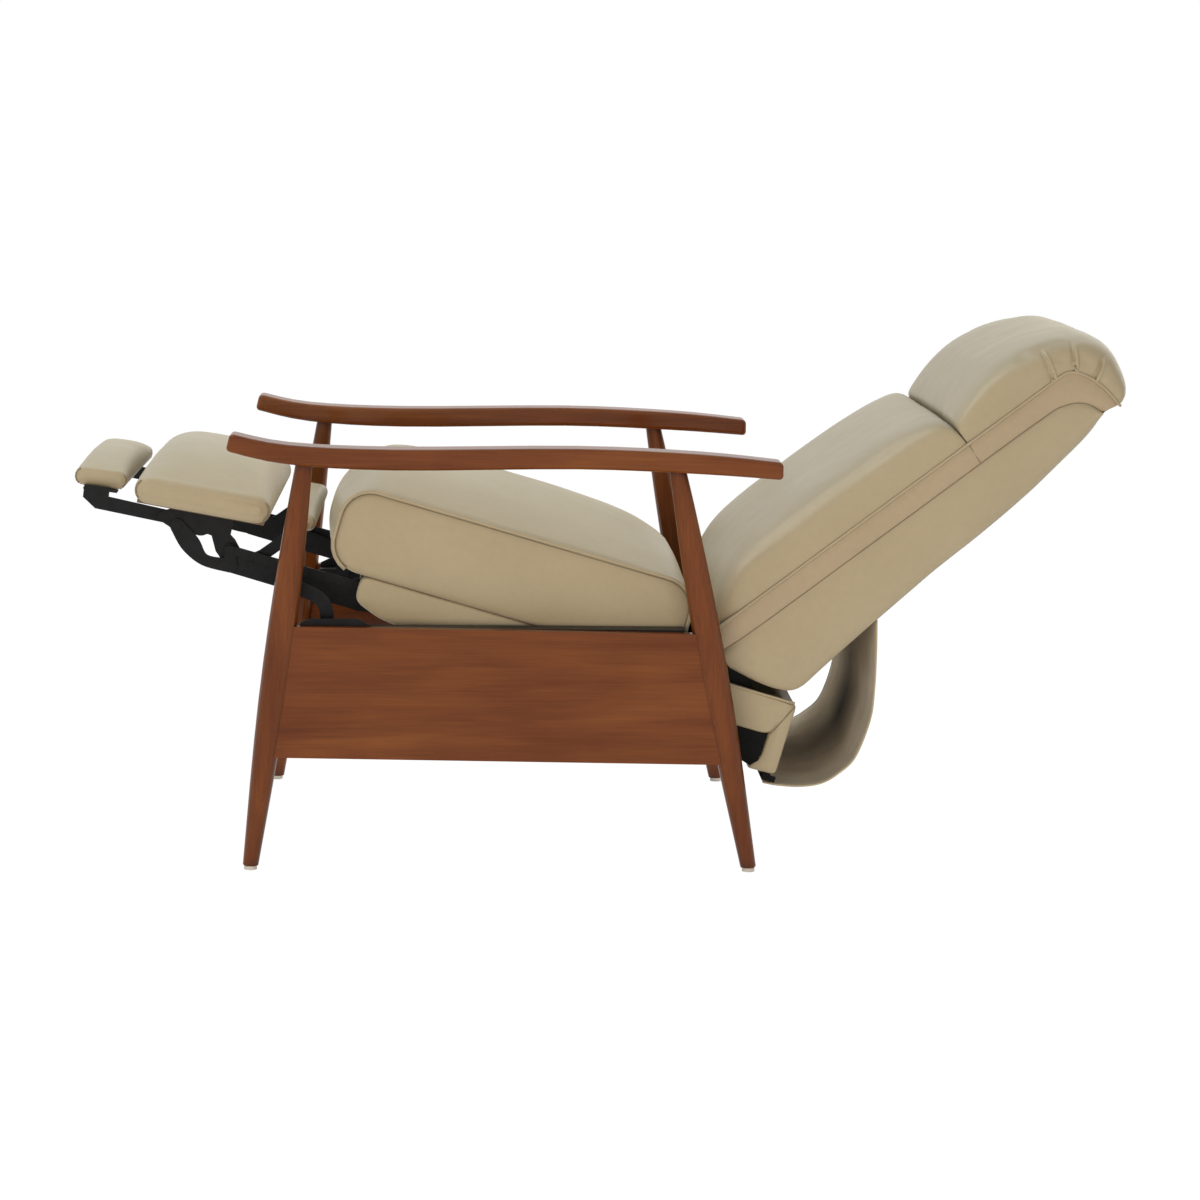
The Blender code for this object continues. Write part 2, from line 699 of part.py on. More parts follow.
# Seat
def seat_box_pieces():
    pieces = []
    inner = SEAT_HALF - SEAT_SIDE_THICKNESS
    side_end = SEAT_BOX_LENGTH - SEAT_REAR_THICKNESS - GAP
    nose = SEAT_SIDE_DEPTH - SEAT_SIDE_NOSE
    outline = [seat_point(*p) for p in [(0, -GAP), (0, -SEAT_SIDE_NOSE), (2 * nose, -SEAT_SIDE_DEPTH + 0.25 * nose),
                                        (4 * nose, -SEAT_SIDE_DEPTH), (side_end, -SEAT_SIDE_DEPTH),
                                        (side_end, -GAP - SEAT_REAR_SET), (SEAT_CUSHION_REAR, -GAP)]]
    for label, side in SIDES.items():
        made = add("seat_side_" + label, prism([outline], *span(side, inner, SEAT_HALF)), LEATHER)
        round_edges(made, 0.004)
        pieces.append(made)
    rear = SEAT_BOX_LENGTH - SEAT_REAR_THICKNESS
    outline = [seat_point(*p) for p in [(rear, -SEAT_REAR_SET), (rear, -SEAT_REAR_DEPTH),
                                        (SEAT_BOX_LENGTH, -SEAT_REAR_DEPTH), (SEAT_BOX_LENGTH, -SEAT_REAR_SET)]]
    made = add("seat_rear_rail", prism([outline], -SEAT_HALF, SEAT_HALF), LEATHER)
    round_edges(made, 0.006)
    pieces.append(made)
    reach = LAYER_START - 2 * LAYER_PITCH
    outline = [seat_point(*p) for p in [(0, -GAP), (0, -SEAT_SIDE_NOSE), (SEAT_FRONT_RAIL, -SEAT_SIDE_NOSE),
                                        (SEAT_FRONT_RAIL, -GAP)]]
    pieces.append(add("seat_front_rail", prism([outline], -reach, reach), PLYWOOD))
    deck = SEAT_FRONT_RAIL + GAP
    outline = [seat_point(*p) for p in [(deck, -GAP), (deck, -SEAT_DECK), (SEAT_DECK_LENGTH, -SEAT_DECK),
                                        (SEAT_DECK_LENGTH, -GAP)]]
    pieces.append(add("seat_deck", prism([outline], GAP - inner, inner - GAP), PLYWOOD))
    return pieces


def seat_plate(label, side):
    """Steel side plate under the deck, with ears for the pivot tube, the links and the back."""
    top = -SEAT_DECK - GAP
    bottom = top - SEAT_PLATE_DEPTH
    main = seat_coordinates(MAIN_PIVOT)
    control = seat_coordinates(CONTROL_PIVOT)
    tube = seat_coordinates(SEAT_PIVOT)
    back = seat_coordinates(BACK_PIVOT)
    ear = TUBE_RADIUS + 0.010
    boss = MAIN_LINK_HALF
    cap = LINK_HALF
    back_ear = LINK_HALF + 0.005
    rear = SEAT_BOX_LENGTH - SEAT_REAR_THICKNESS - 0.03
    outline = arc(control, cap, 75, 180, 5) + arc(main, boss, 170, 290, 6)
    outline += [(main[0] + 0.06, bottom), (tube[0] - 0.045, bottom)]
    outline += arc(tube, ear, 200, 340, 8)
    outline += [(tube[0] + 0.045, bottom), (rear, bottom), (rear, top)]
    outline += arc((back[0], back[1]), back_ear, -5, 185, 8)
    outline += [(back[0] - back_ear - 0.02, top), (SEAT_FRONT_RAIL - 0.001, top)]
    outline = [seat_point(*p) for p in outline]
    holes = [(SEAT_PIVOT, TUBE_RADIUS + PIN_CLEARANCE), (BACK_PIVOT, LINK_PIN + PIN_CLEARANCE),
             (MAIN_PIVOT, LINK_PIN + PIN_CLEARANCE), (CONTROL_PIVOT, LINK_PIN + PIN_CLEARANCE)]
    return plate("seat_plate_" + label, outline, holes, *layer(2), side)


def seat_cushion():
    def place(along, up):
        return seat_point(SEAT_CUSHION_REAR - along, up)

    length = SEAT_CUSHION_REAR - SEAT_CUSHION_FRONT
    return cushion("seat_cushion", place, length, SEAT_CUSHION_THICKNESS, SEAT_CUSHION_CROWN, 0.045,
                   SEAT_CUSHION_HALF, 0.012, GAP, SEAT_CUSHION_BULGE, 2.5, 8)


def seat_pieces():
    pieces = seat_box_pieces()
    for label, side in SIDES.items():
        pieces.append(seat_plate(label, side))
    pieces.append(seat_cushion())
    return pieces


# Back
def shell_end(swell=0.0):
    """Rounded upper end of the back shell, from its front face round to its lip."""
    start = BACK_LENGTH - BACK_END_LENGTH
    points = []
    for step in range(9):
        turn = math.pi / 2 * step / 8
        points.append((start + (BACK_END_LENGTH + swell) * math.sin(turn),
                       BACK_WELT - BACK_END_DEPTH + (BACK_END_DEPTH + swell) * math.cos(turn)))
    return points


def shell_section(inset):
    lip = BACK_WELT - BACK_END_DEPTH
    outline = [(-0.012 + inset, BACK_WELT - inset)]
    outline += [(along - inset, up - inset * 0.6) for along, up in shell_end()]
    outline += [(BACK_LENGTH - BACK_LIP - inset, lip + inset * 0.5)]
    outline += [(BACK_LENGTH - BACK_LIP - 0.06, BACK_WELT - BACK_TOP_DEPTH + inset)]
    outline += [(0.034, BACK_WELT + 0.004 - BACK_BOTTOM_DEPTH + inset), (0.016, -0.142 + inset), (-0.007, -0.112 + inset)]
    outline += [(-0.030 + inset, -0.065), (-0.026 + inset, -0.03)]
    return outline


def back_shell():
    sections = []
    for y, share, inset in soft_stations(BACK_HALF, 0.010, 3):
        sections.append([(back_point(*p)[0], y, back_point(*p)[1]) for p in shell_section(inset)])
    made = loft("back_shell", sections, LEATHER)
    low, high = layer(2)[0] - 2 * GAP, layer(3)[1] + GAP
    x, z = BACK_PIVOT
    slot = hull([(BACK_PIVOT, 0.024), (bracket_end(), LINK_HALF + 0.006), ((x - 0.075, z - 0.05), 0.03),
                 ((x, z - 0.08), 0.03)])
    combine(made, [prism([slot], *span(side, low, high)) for side in SIDES.values()], "DIFFERENCE")
    return made


def bracket_end():
    return back_point(0.115, -0.060)


def back_bracket(label, side):
    outline = hull([(BACK_PIVOT, LINK_HALF + 0.004), (bracket_end(), LINK_HALF)])
    inner, outer = layer(3)
    pin = (BACK_PIVOT, LINK_PIN, layer(2)[0], inner + STEEL / 2)
    return plate("back_bracket_" + label, outline, [], inner, outer, side, [pin])


def back_cushion():
    def place(along, up):
        return back_point(BACK_CUSHION_LENGTH - along, up)

    return cushion("back_cushion", place, BACK_CUSHION_LENGTH, BACK_CUSHION_EDGE, BACK_CUSHION_CROWN, 0.028,
                   BACK_HALF, 0.014, BACK_WELT + GAP, 0.0, 8, 3.5)


def pillow_section(share, inset):
    """Head pillow: rises from the seam, rolls over the end of the shell and tucks in under its lip."""
    seam = BACK_CUSHION_LENGTH + SEAM_GAP + inset
    start = BACK_LENGTH - BACK_END_LENGTH
    end = BACK_LENGTH - inset
    crest = PILLOW_EDGE + PILLOW_CROWN * share - inset
    lip = BACK_WELT - BACK_END_DEPTH
    inner = [(seam + (start - seam) * i / 4, BACK_WELT + GAP) for i in range(4)]
    inner += shell_end(GAP)
    roll = [(BACK_LENGTH + 0.2 * PILLOW_OVERHANG, lip), (end + 0.85 * PILLOW_OVERHANG, lip + 0.5 * PILLOW_EDGE),
            (end + PILLOW_OVERHANG, lip + 1.6 * PILLOW_EDGE), (end + 0.5 * PILLOW_OVERHANG, BACK_WELT + 0.40 * crest),
            (end - 0.5 * BACK_END_LENGTH, BACK_WELT + 0.73 * crest), (start - 0.043, BACK_WELT + 0.96 * crest),
            (start - 0.092, BACK_WELT + crest), (seam + 0.050, BACK_WELT + 0.94 * crest),
            (seam + 0.020, BACK_WELT + 0.82 * crest), (seam, BACK_WELT + 0.55 * crest), (seam, BACK_WELT + 0.1 * crest)]
    return inner + smooth(roll, 2)


def head_pillow():
    sections = []
    for y, share, inset in soft_stations(BACK_HALF, 0.014):
        sections.append([(back_point(*p)[0], y, back_point(*p)[1]) for p in pillow_section(share, inset)])
    return loft("head_pillow", sections, LEATHER)


def back_pieces():
    pieces = [back_shell(), back_cushion(), head_pillow()]
    for label, side in SIDES.items():
        pieces.append(back_bracket(label, side))
    return pieces


# Sling
def sling():
    """Leather flap that closes the gap between the seat box and the outside of the back."""
    half = SLING_THICKNESS / 2
    start = seat_point(SEAT_BOX_LENGTH - SEAT_REAR_THICKNESS + 0.006, -SEAT_REAR_DEPTH - GAP - half)
    turn = seat_point(SEAT_BOX_LENGTH + 0.004, -SEAT_REAR_DEPTH - GAP - 2 * half)
    rise = (BACK_BOTTOM_DEPTH - BACK_TOP_DEPTH) / (BACK_LENGTH - BACK_LIP - 0.094)
    rear_face = BACK_WELT + 0.004 - BACK_BOTTOM_DEPTH + rise * (SLING_BACK_AT - 0.034)
    end = back_point(SLING_BACK_AT, rear_face - GAP - half - 0.0015)
    path = [start, turn, (along_line(start, (SLING_REACH, 0), 0.40)[0], SLING_LOW),
            (SLING_REACH - 0.030, SLING_LOW + 0.050), (SLING_REACH - 0.006, SLING_LOW + 0.130), end]
    outline = bar(smooth(path, 5), half, False, False)
    return add("sling", prism([outline], -SLING_HALF, SLING_HALF), SUEDE)


# Pads of the footrest, each on a board that its cover wraps
FOOTREST = pad_point(FOOTREST_CORNER, FOOTREST_TILT)
FLAP = pad_point(FLAP_CORNER, FLAP_TILT)
FILLER = pad_point(FILLER_CORNER, FILLER_TILT)


def board_mesh(place, length, half, slack=0.0, below=0.0):
    low, high, top = BOARD_INSET - slack, length - BOARD_INSET + slack, BOARD + slack
    outline = [place(*p) for p in [(low, -below), (high, -below), (high, top), (low, top)]]
    reach = half - BOARD_INSET + slack
    return prism([outline], -reach, reach)


def pad_pieces(name, place, length, edge, crown, radius, half):
    pad = cushion(name + "_pad", place, length, edge, crown, radius, half, 0.012)
    combine(pad, [board_mesh(place, length, half, GAP, BOARD)], "DIFFERENCE")
    return [add(name + "_board", board_mesh(place, length, half), PLYWOOD), pad]


def filler_seat():
    return FILLER(FILLER_LENGTH / 2, BOARD / 2)


def filler_pieces():
    pieces = pad_pieces("filler", FILLER, FILLER_LENGTH, FILLER_EDGE, FILLER_CROWN, 0.012, FILLER_HALF)
    low = FILLER_HALF - BOARD_INSET - 0.02 - GAP
    for piece in pieces:
        bores = [rod(filler_seat(), FILLER_PIN + GAP, *span(side, low, FILLER_HALF + 0.01), 14)
                 for side in SIDES.values()]
        combine(piece, bores, "DIFFERENCE")
    return pieces


# Footrest linkage
def main_link(label, side):
    inner, outer = layer(1)
    outline = hull([(MAIN_PIVOT, MAIN_LINK_HALF), (LIFT_PIVOT, MAIN_LINK_HALF), (PARALLEL_PIVOT, LINK_HALF)])
    holes = [(LIFT_PIVOT, LINK_PIN + PIN_CLEARANCE), (PARALLEL_PIVOT, LINK_PIN + PIN_CLEARANCE)]
    pin = (MAIN_PIVOT, LINK_PIN, inner + STEEL / 2, layer(2)[1])
    return plate("main_link_" + label, outline, holes, inner, outer, side, [pin])


def lift_link(label, side):
    """Bell crank that carries the footrest bracket in front and the filler pad behind."""
    inner, outer = layer(0)
    path = [FOOTREST_PIVOT]
    for across, down in ((0.31, 0.15), (0.49, 0.54), (0.65, 0.86)):
        path.append((along_line(FOOTREST_PIVOT, LIFT_PIVOT, across)[0], along_line(FOOTREST_PIVOT, LIFT_PIVOT, down)[1]))
    path += [LIFT_PIVOT, along_line(LIFT_PIVOT, filler_seat(), 0.25), filler_seat()]
    thin = LINK_HALF * 0.8
    outline = bar(path, [LINK_HALF, LINK_HALF, LIFT_LINK_HALF, LIFT_LINK_HALF, MAIN_LINK_HALF, thin, thin])
    pins = [(LIFT_PIVOT, LINK_PIN, inner + STEEL / 2, layer(1)[1]),
            (FOOTREST_PIVOT, LINK_PIN, inner + STEEL / 2, layer(1)[1]),
            (filler_seat(), FILLER_PIN, FILLER_HALF - BOARD_INSET - 0.02, inner + STEEL / 2)]
    return plate("lift_link_" + label, outline, [], inner, outer, side, pins)


def parallel_link(label, side):
    inner, outer = layer(2)
    run = (Vector(PARALLEL_END) - Vector(PARALLEL_PIVOT)).normalized()
    sag = Vector((-run.y, run.x)) * PARALLEL_LINK_SAG
    ear = control_end()
    path = [(*PARALLEL_PIVOT, PARALLEL_LINK_HALF)]
    for share, drop, half in ((0.36, 1.0, PARALLEL_LINK_WAIST), (0.68, 0.6, PARALLEL_LINK_SHOULDER)):
        x, z = along_line(PARALLEL_PIVOT, PARALLEL_END, share)
        path.append((x + drop * sag.x, z + drop * sag.y, half))
    path.append((*PARALLEL_END, PARALLEL_LINK_HALF))
    line = smooth(path, 6)
    outline = bar([(x, z) for x, z, half in line], [half for x, z, half in line])
    pins = [(PARALLEL_PIVOT, LINK_PIN, layer(1)[0], inner + STEEL / 2),
            (PARALLEL_END, RIVET_RADIUS, outer - STEEL / 2, outer + RIVET_HEIGHT)]
    made = plate("parallel_link_" + label, outline, [], inner, outer, side, pins)
    combine(made, [prism([hull([(PARALLEL_PIVOT, LINK_HALF * 0.8), (ear, LINK_HALF * 0.8)])],
                         *span(side, inner, outer))], "UNION")
    return made


def control_end():
    return (PARALLEL_PIVOT[0] + CONTROL_PIVOT[0] - MAIN_PIVOT[0],
            PARALLEL_PIVOT[1] + CONTROL_PIVOT[1] - MAIN_PIVOT[1])


def control_link(label, side):
    inner, outer = layer(3)
    outline = bar([CONTROL_PIVOT, control_end()], CONTROL_LINK_HALF)
    pins = [(CONTROL_PIVOT, LINK_PIN, layer(2)[0], inner + STEEL / 2),
            (control_end(), RIVET_RADIUS, outer - STEEL / 2, outer + RIVET_HEIGHT)]
    return plate("control_link_" + label, outline, [], inner, outer, side, pins)


def footrest_bracket(label, side):
    """Plate under the footrest board with a flange turned in below it."""
    inner, outer = layer(1)
    rear, front = FOOTREST_LENGTH * 0.27, FOOTREST_LENGTH * 0.68
    top = -GAP
    outline = [FOOTREST(rear, top), FOOTREST(front, top)]
    outline += arc(FLAP_PIVOT, LINK_HALF * 0.8, 100, 215, 5)
    outline += arc(PARALLEL_END, LINK_HALF * 0.8, 215, 290, 4)
    outline += arc(FOOTREST_PIVOT, LIFT_LINK_HALF, 260, 300, 4)
    outline += [FOOTREST(rear, top - 2 * MAIN_LINK_HALF)]
    holes = [(FOOTREST_PIVOT, LINK_PIN + PIN_CLEARANCE)]
    pin = (FLAP_PIVOT, LINK_PIN, layer(-1)[0], inner + STEEL / 2)
    made = plate("footrest_bracket_" + label, outline, holes, inner, outer, side, [pin])
    flange = [FOOTREST(rear, top), FOOTREST(front, top), FOOTREST(front, top - STEEL), FOOTREST(rear, top - STEEL)]
    combine(made, [prism([flange], *span(side, inner - 0.028, inner + STEEL / 2))], "UNION")
    return made


def flap_arm(label, side):
    """Arm from the flap's pivot to a web beside the flap pad, with a flange turned in under its board."""
    inner, outer = layer(-1)
    rear, front = FLAP_LENGTH * 0.15, FLAP_LENGTH * 0.65
    half = LINK_HALF * 0.9
    run = Vector(FLAP(front, -FLAP_ARM_DROP)) - Vector(FLAP_PIVOT)
    heading = math.degrees(math.atan2(run.y, run.x))
    web = [(rear + LINK_HALF, half - FLAP_ARM_DROP), (rear + LINK_HALF, FLAP_WEB_LAP), (front + half, FLAP_WEB_LAP),
           (front + half, half / 2 - FLAP_ARM_DROP), (front - half, -half - FLAP_ARM_DROP)]
    outline = arc(FLAP_PIVOT, half, heading + 90, heading + 270, 8) + [FLAP(*point) for point in web]
    made = plate("flap_arm_" + label, outline, [(FLAP_PIVOT, LINK_PIN + PIN_CLEARANCE)], inner, outer, side)
    top = -GAP
    flange = [FLAP(rear, top), FLAP(front + LINK_HALF, top), FLAP(front + LINK_HALF, top - STEEL),
              FLAP(rear, top - STEEL)]
    combine(made, [prism([flange], *span(side, inner - 0.022, inner + STEEL / 2))], "UNION")
    return made


def both(maker):
    return [maker(label, side) for label, side in SIDES.items()]


frame_body = carry("frame", (0, 0), ROOT, frame_pieces() + base_pieces())
seat_body = carry("seat", SEAT_PIVOT, ROOT, seat_pieces() + [sling()])
back_body = carry("back", BACK_PIVOT, seat_body, back_pieces())
main_body = carry("main_links", MAIN_PIVOT, seat_body, both(main_link))
control_body = carry("control_links", CONTROL_PIVOT, seat_body, both(control_link))
lift_body = carry("lift_links", LIFT_PIVOT, main_body, both(lift_link) + filler_pieces())
parallel_body = carry("parallel_links", PARALLEL_PIVOT, main_body, both(parallel_link))
footrest = pad_pieces("footrest", FOOTREST, FOOTREST_LENGTH, FOOTREST_EDGE, FOOTREST_CROWN, 0.020, FOOTREST_HALF)
footrest_body = carry("footrest", FOOTREST_PIVOT, lift_body, both(footrest_bracket) + footrest)
flap = pad_pieces("flap", FLAP, FLAP_LENGTH, FLAP_EDGE, FLAP_CROWN, 0.014, FLAP_HALF)
flap_body = carry("flap", FLAP_PIVOT, footrest_body, both(flap_arm) + flap)

# The origin stands on the floor under the middle of the reclined chair
bpy.context.view_layer.update()
corners = [piece.matrix_world @ Vector(corner) for piece in PARTS.objects if piece.type == "MESH"
           for corner in piece.bound_box]
ROOT.location.x = -(min(c.x for c in corners) + max(c.x for c in corners)) / 2
bpy.context.view_layer.update()
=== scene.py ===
"""Looks of the reclined open-arm recliner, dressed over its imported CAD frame. Metres, +Z up."""
import math
from collections import namedtuple

import bmesh
import bpy
import numpy as np
from mathutils import Matrix, Vector, kdtree, noise


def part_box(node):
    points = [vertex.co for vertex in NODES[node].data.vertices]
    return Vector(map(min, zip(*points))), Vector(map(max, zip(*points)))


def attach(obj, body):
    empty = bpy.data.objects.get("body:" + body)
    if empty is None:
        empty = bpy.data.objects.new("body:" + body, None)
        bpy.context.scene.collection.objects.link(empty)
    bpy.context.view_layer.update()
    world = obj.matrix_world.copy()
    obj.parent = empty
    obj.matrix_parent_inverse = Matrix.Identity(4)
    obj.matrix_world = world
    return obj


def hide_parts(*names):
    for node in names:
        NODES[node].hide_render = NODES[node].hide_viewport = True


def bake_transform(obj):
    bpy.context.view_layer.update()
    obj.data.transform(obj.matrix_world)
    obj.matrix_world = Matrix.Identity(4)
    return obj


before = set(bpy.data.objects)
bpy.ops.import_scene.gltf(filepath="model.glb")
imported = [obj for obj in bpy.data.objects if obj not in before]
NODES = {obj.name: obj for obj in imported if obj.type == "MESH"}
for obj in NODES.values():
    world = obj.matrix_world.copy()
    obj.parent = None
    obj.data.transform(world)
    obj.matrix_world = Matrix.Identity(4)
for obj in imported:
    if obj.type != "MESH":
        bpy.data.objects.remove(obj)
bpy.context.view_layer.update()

# The photo was measured with x = 0 midway between the feet; the part's origin lies further back
TUBE_X = 0.100
tube_low, tube_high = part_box("pivot_tube")
SHIFT = (tube_low.x + tube_high.x) / 2 - TUBE_X

# Camera read from the photo's perspective
CAMERA_PLACE = (-0.0475, -5.0698, 1.1131)
CAMERA_YAW = 2.303
CAMERA_PITCH = 8.484
CAMERA_ROLL = 0.763
CAMERA_LENS = 98.025
CAMERA_SENSOR = 36
CAMERA_RANGE = 60


def make_camera():
    yaw, pitch, roll = (math.radians(a) for a in (CAMERA_YAW, CAMERA_PITCH, CAMERA_ROLL))
    ahead = Vector((math.sin(yaw) * math.cos(pitch), math.cos(yaw) * math.cos(pitch), -math.sin(pitch)))
    right = Vector((math.cos(yaw), -math.sin(yaw), 0))
    up = right.cross(ahead)
    tilted_right = math.cos(roll) * right + math.sin(roll) * up
    tilted_up = math.cos(roll) * up - math.sin(roll) * right
    data = bpy.data.cameras.new("camera")
    data.lens = CAMERA_LENS
    data.sensor_width = CAMERA_SENSOR
    data.clip_end = CAMERA_RANGE
    camera = bpy.data.objects.new("camera", data)
    bpy.context.scene.collection.objects.link(camera)
    turn = Matrix((tilted_right, tilted_up, -ahead)).transposed().to_4x4()
    camera.matrix_world = Matrix.Translation(Vector(CAMERA_PLACE) + Vector((SHIFT, 0, 0))) @ turn
    bpy.context.scene.camera = camera


# Studio
WORLD_TINT = (0.87, 0.97, 1.0, 1)
WORLD_LEVEL = 0.28
FLOOR_TINT = (0.86, 0.85, 0.83, 1)
FLOOR_SPAN = 8
FLOOR_DROP = 0.0005
FLOOR_GLOW = 1.05
FLOOR_SHARE = 0.95
AIM = (0.1, 0.0, 0.5)

# Name, place, size, power, colour, and whether gloss shows the lamp itself
LAMPS = [
    ("over_left", (-1.4, 0.2, 3.0), (2.4, 2.4), 44, (0.95, 1.0, 0.97), True),
    ("front_left", (-1.6, -3.6, 1.4), (2.4, 2.4), 25, (0.99, 1.0, 0.95), False),
    ("front_low", (0.1, -3.6, 0.35), (4.0, 0.6), 59, (1.0, 0.85, 0.73), False),
    ("rear_right", (2.4, 1.8, 1.8), (2.0, 2.0), 88, (0.97, 1.0, 1.0), False),
]


def area_light(name, place, size, power, colour, mirrored):
    data = bpy.data.lights.new(name, "AREA")
    data.color = colour
    data.shape = "RECTANGLE"
    data.size, data.size_y = size
    data.energy = power
    lamp = bpy.data.objects.new(name, data)
    bpy.context.scene.collection.objects.link(lamp)
    lamp.location = Vector(place) + Vector((SHIFT, 0, 0))
    lamp.rotation_mode = "QUATERNION"
    lamp.rotation_quaternion = (Vector(AIM) - Vector(place)).to_track_quat("-Z", "Y")
    lamp.visible_camera = False
    lamp.visible_glossy = mirrored


def seen_directly(tree):
    """1 for rays that show the background itself: from the camera, off gloss or through glass."""
    path = tree.nodes.new("ShaderNodeLightPath")
    first = tree.nodes.new("ShaderNodeMath")
    first.operation = "MAXIMUM"
    tree.links.new(path.outputs["Is Camera Ray"], first.inputs[0])
    tree.links.new(path.outputs["Is Glossy Ray"], first.inputs[1])
    second = tree.nodes.new("ShaderNodeMath")
    second.operation = "MAXIMUM"
    tree.links.new(first.outputs[0], second.inputs[0])
    tree.links.new(path.outputs["Is Transmission Ray"], second.inputs[1])
    return second.outputs[0]


def make_studio():
    scene = bpy.context.scene
    scene.view_settings.view_transform = "Standard"
    world = bpy.data.worlds.new("studio")
    scene.world = world
    world.use_nodes = True
    tree = world.node_tree
    tree.nodes.clear()
    out = tree.nodes.new("ShaderNodeOutputWorld")
    fill = tree.nodes.new("ShaderNodeBackground")
    fill.inputs["Color"].default_value = WORLD_TINT
    fill.inputs["Strength"].default_value = WORLD_LEVEL
    white = tree.nodes.new("ShaderNodeBackground")
    white.inputs["Color"].default_value = (1, 1, 1, 1)
    white.inputs["Strength"].default_value = 1.0
    mix = tree.nodes.new("ShaderNodeMixShader")
    tree.links.new(seen_directly(tree), mix.inputs[0])
    tree.links.new(fill.outputs[0], mix.inputs[1])
    tree.links.new(white.outputs[0], mix.inputs[2])
    tree.links.new(mix.outputs[0], out.inputs["Surface"])

    mesh = bpy.data.meshes.new("floor")
    corners = [(x * FLOOR_SPAN, y * FLOOR_SPAN, 0) for x, y in ((-1, -1), (1, -1), (1, 1), (-1, 1))]
    mesh.from_pydata(corners, [], [(0, 1, 2, 3)])
    floor = bpy.data.objects.new("floor", mesh)
    scene.collection.objects.link(floor)
    floor.location.z = -FLOOR_DROP
    paint = bpy.data.materials.new("floor_white")
    paint.use_nodes = True
    tree = paint.node_tree
    tree.nodes.clear()
    out = tree.nodes.new("ShaderNodeOutputMaterial")
    matt = tree.nodes.new("ShaderNodeBsdfDiffuse")
    matt.inputs["Color"].default_value = FLOOR_TINT
    glow = tree.nodes.new("ShaderNodeEmission")
    glow.inputs["Strength"].default_value = FLOOR_GLOW
    share = tree.nodes.new("ShaderNodeMath")
    share.operation = "MULTIPLY"
    share.inputs[1].default_value = FLOOR_SHARE
    tree.links.new(seen_directly(tree), share.inputs[0])
    mix = tree.nodes.new("ShaderNodeMixShader")
    tree.links.new(share.outputs[0], mix.inputs[0])
    tree.links.new(matt.outputs[0], mix.inputs[1])
    tree.links.new(glow.outputs[0], mix.inputs[2])
    tree.links.new(mix.outputs[0], out.inputs["Surface"])
    mesh.materials.append(paint)

    for lamp in LAMPS:
        area_light(*lamp)


# Materials
class Look:
    """A Principled material with short calls for its nodes."""

    def __init__(self, name, roughness, specular):
        self.material = bpy.data.materials.new(name)
        self.material.use_nodes = True
        self.tree = self.material.node_tree
        self.shader = self.tree.nodes["Principled BSDF"]
        self.set("Roughness", roughness)
        self.set("Specular IOR Level", specular)

    def set(self, socket, value):
        self.shader.inputs[socket].default_value = value

    def node(self, kind, **values):
        made = self.tree.nodes.new("ShaderNode" + kind)
        for key, value in values.items():
            if hasattr(made, key):
                setattr(made, key, value)
            else:
                made.inputs[key.replace("_", " ")].default_value = value
        return made

    def link(self, output, target):
        self.tree.links.new(output, target)

    def coordinates(self, scale=(1, 1, 1), turn=(0, 0, 0)):
        place = self.node("TexCoord")
        mapping = self.node("Mapping")
        mapping.inputs["Scale"].default_value = scale
        mapping.inputs["Rotation"].default_value = turn
        self.link(place.outputs["Object"], mapping.inputs["Vector"])
        return mapping.outputs["Vector"]

    def noise(self, vector, scale, detail=3.0, roughness=0.5, distortion=0.0):
        made = self.node("TexNoise", Scale=scale, Detail=detail, Roughness=roughness, Distortion=distortion)
        self.link(vector, made.inputs["Vector"])
        return made.outputs["Fac"]

    def ramp(self, value, stops):
        made = self.node("ValToRGB")
        ramp = made.color_ramp
        while len(ramp.elements) < len(stops):
            ramp.elements.new(0.5)
        for element, (place, colour) in zip(ramp.elements, stops):
            element.position = place
            element.color = (*colour, 1.0)
        self.link(value, made.inputs["Fac"])
        return made.outputs["Color"]

    def spread(self, value, low, high):
        made = self.node("MapRange")
        made.inputs["To Min"].default_value = low
        made.inputs["To Max"].default_value = high
        self.link(value, made.inputs["Value"])
        return made.outputs["Result"]

    def blend(self, share, first, second, mode="MIX"):
        made = self.node("Mix", data_type="RGBA", blend_type=mode)
        for value, socket in ((share, 0), (first, 6), (second, 7)):
            if isinstance(value, (int, float)):
                made.inputs[socket].default_value = value
            elif isinstance(value, tuple):
                made.inputs[socket].default_value = (*value, 1.0)
            else:
                self.link(value, made.inputs[socket])
        return made.outputs[2]

    def colour(self, output):
        self.link(output, self.shader.inputs["Base Color"])

    def roughness(self, output):
        self.link(output, self.shader.inputs["Roughness"])

    def bump(self, height, strength, distance, previous=None):
        made = self.node("Bump", Strength=strength, Distance=distance)
        self.link(height, made.inputs["Height"])
        if previous is not None:
            self.link(previous, made.inputs["Normal"])
        return made.outputs["Normal"]

    def normal(self, output):
        self.link(output, self.shader.inputs["Normal"])


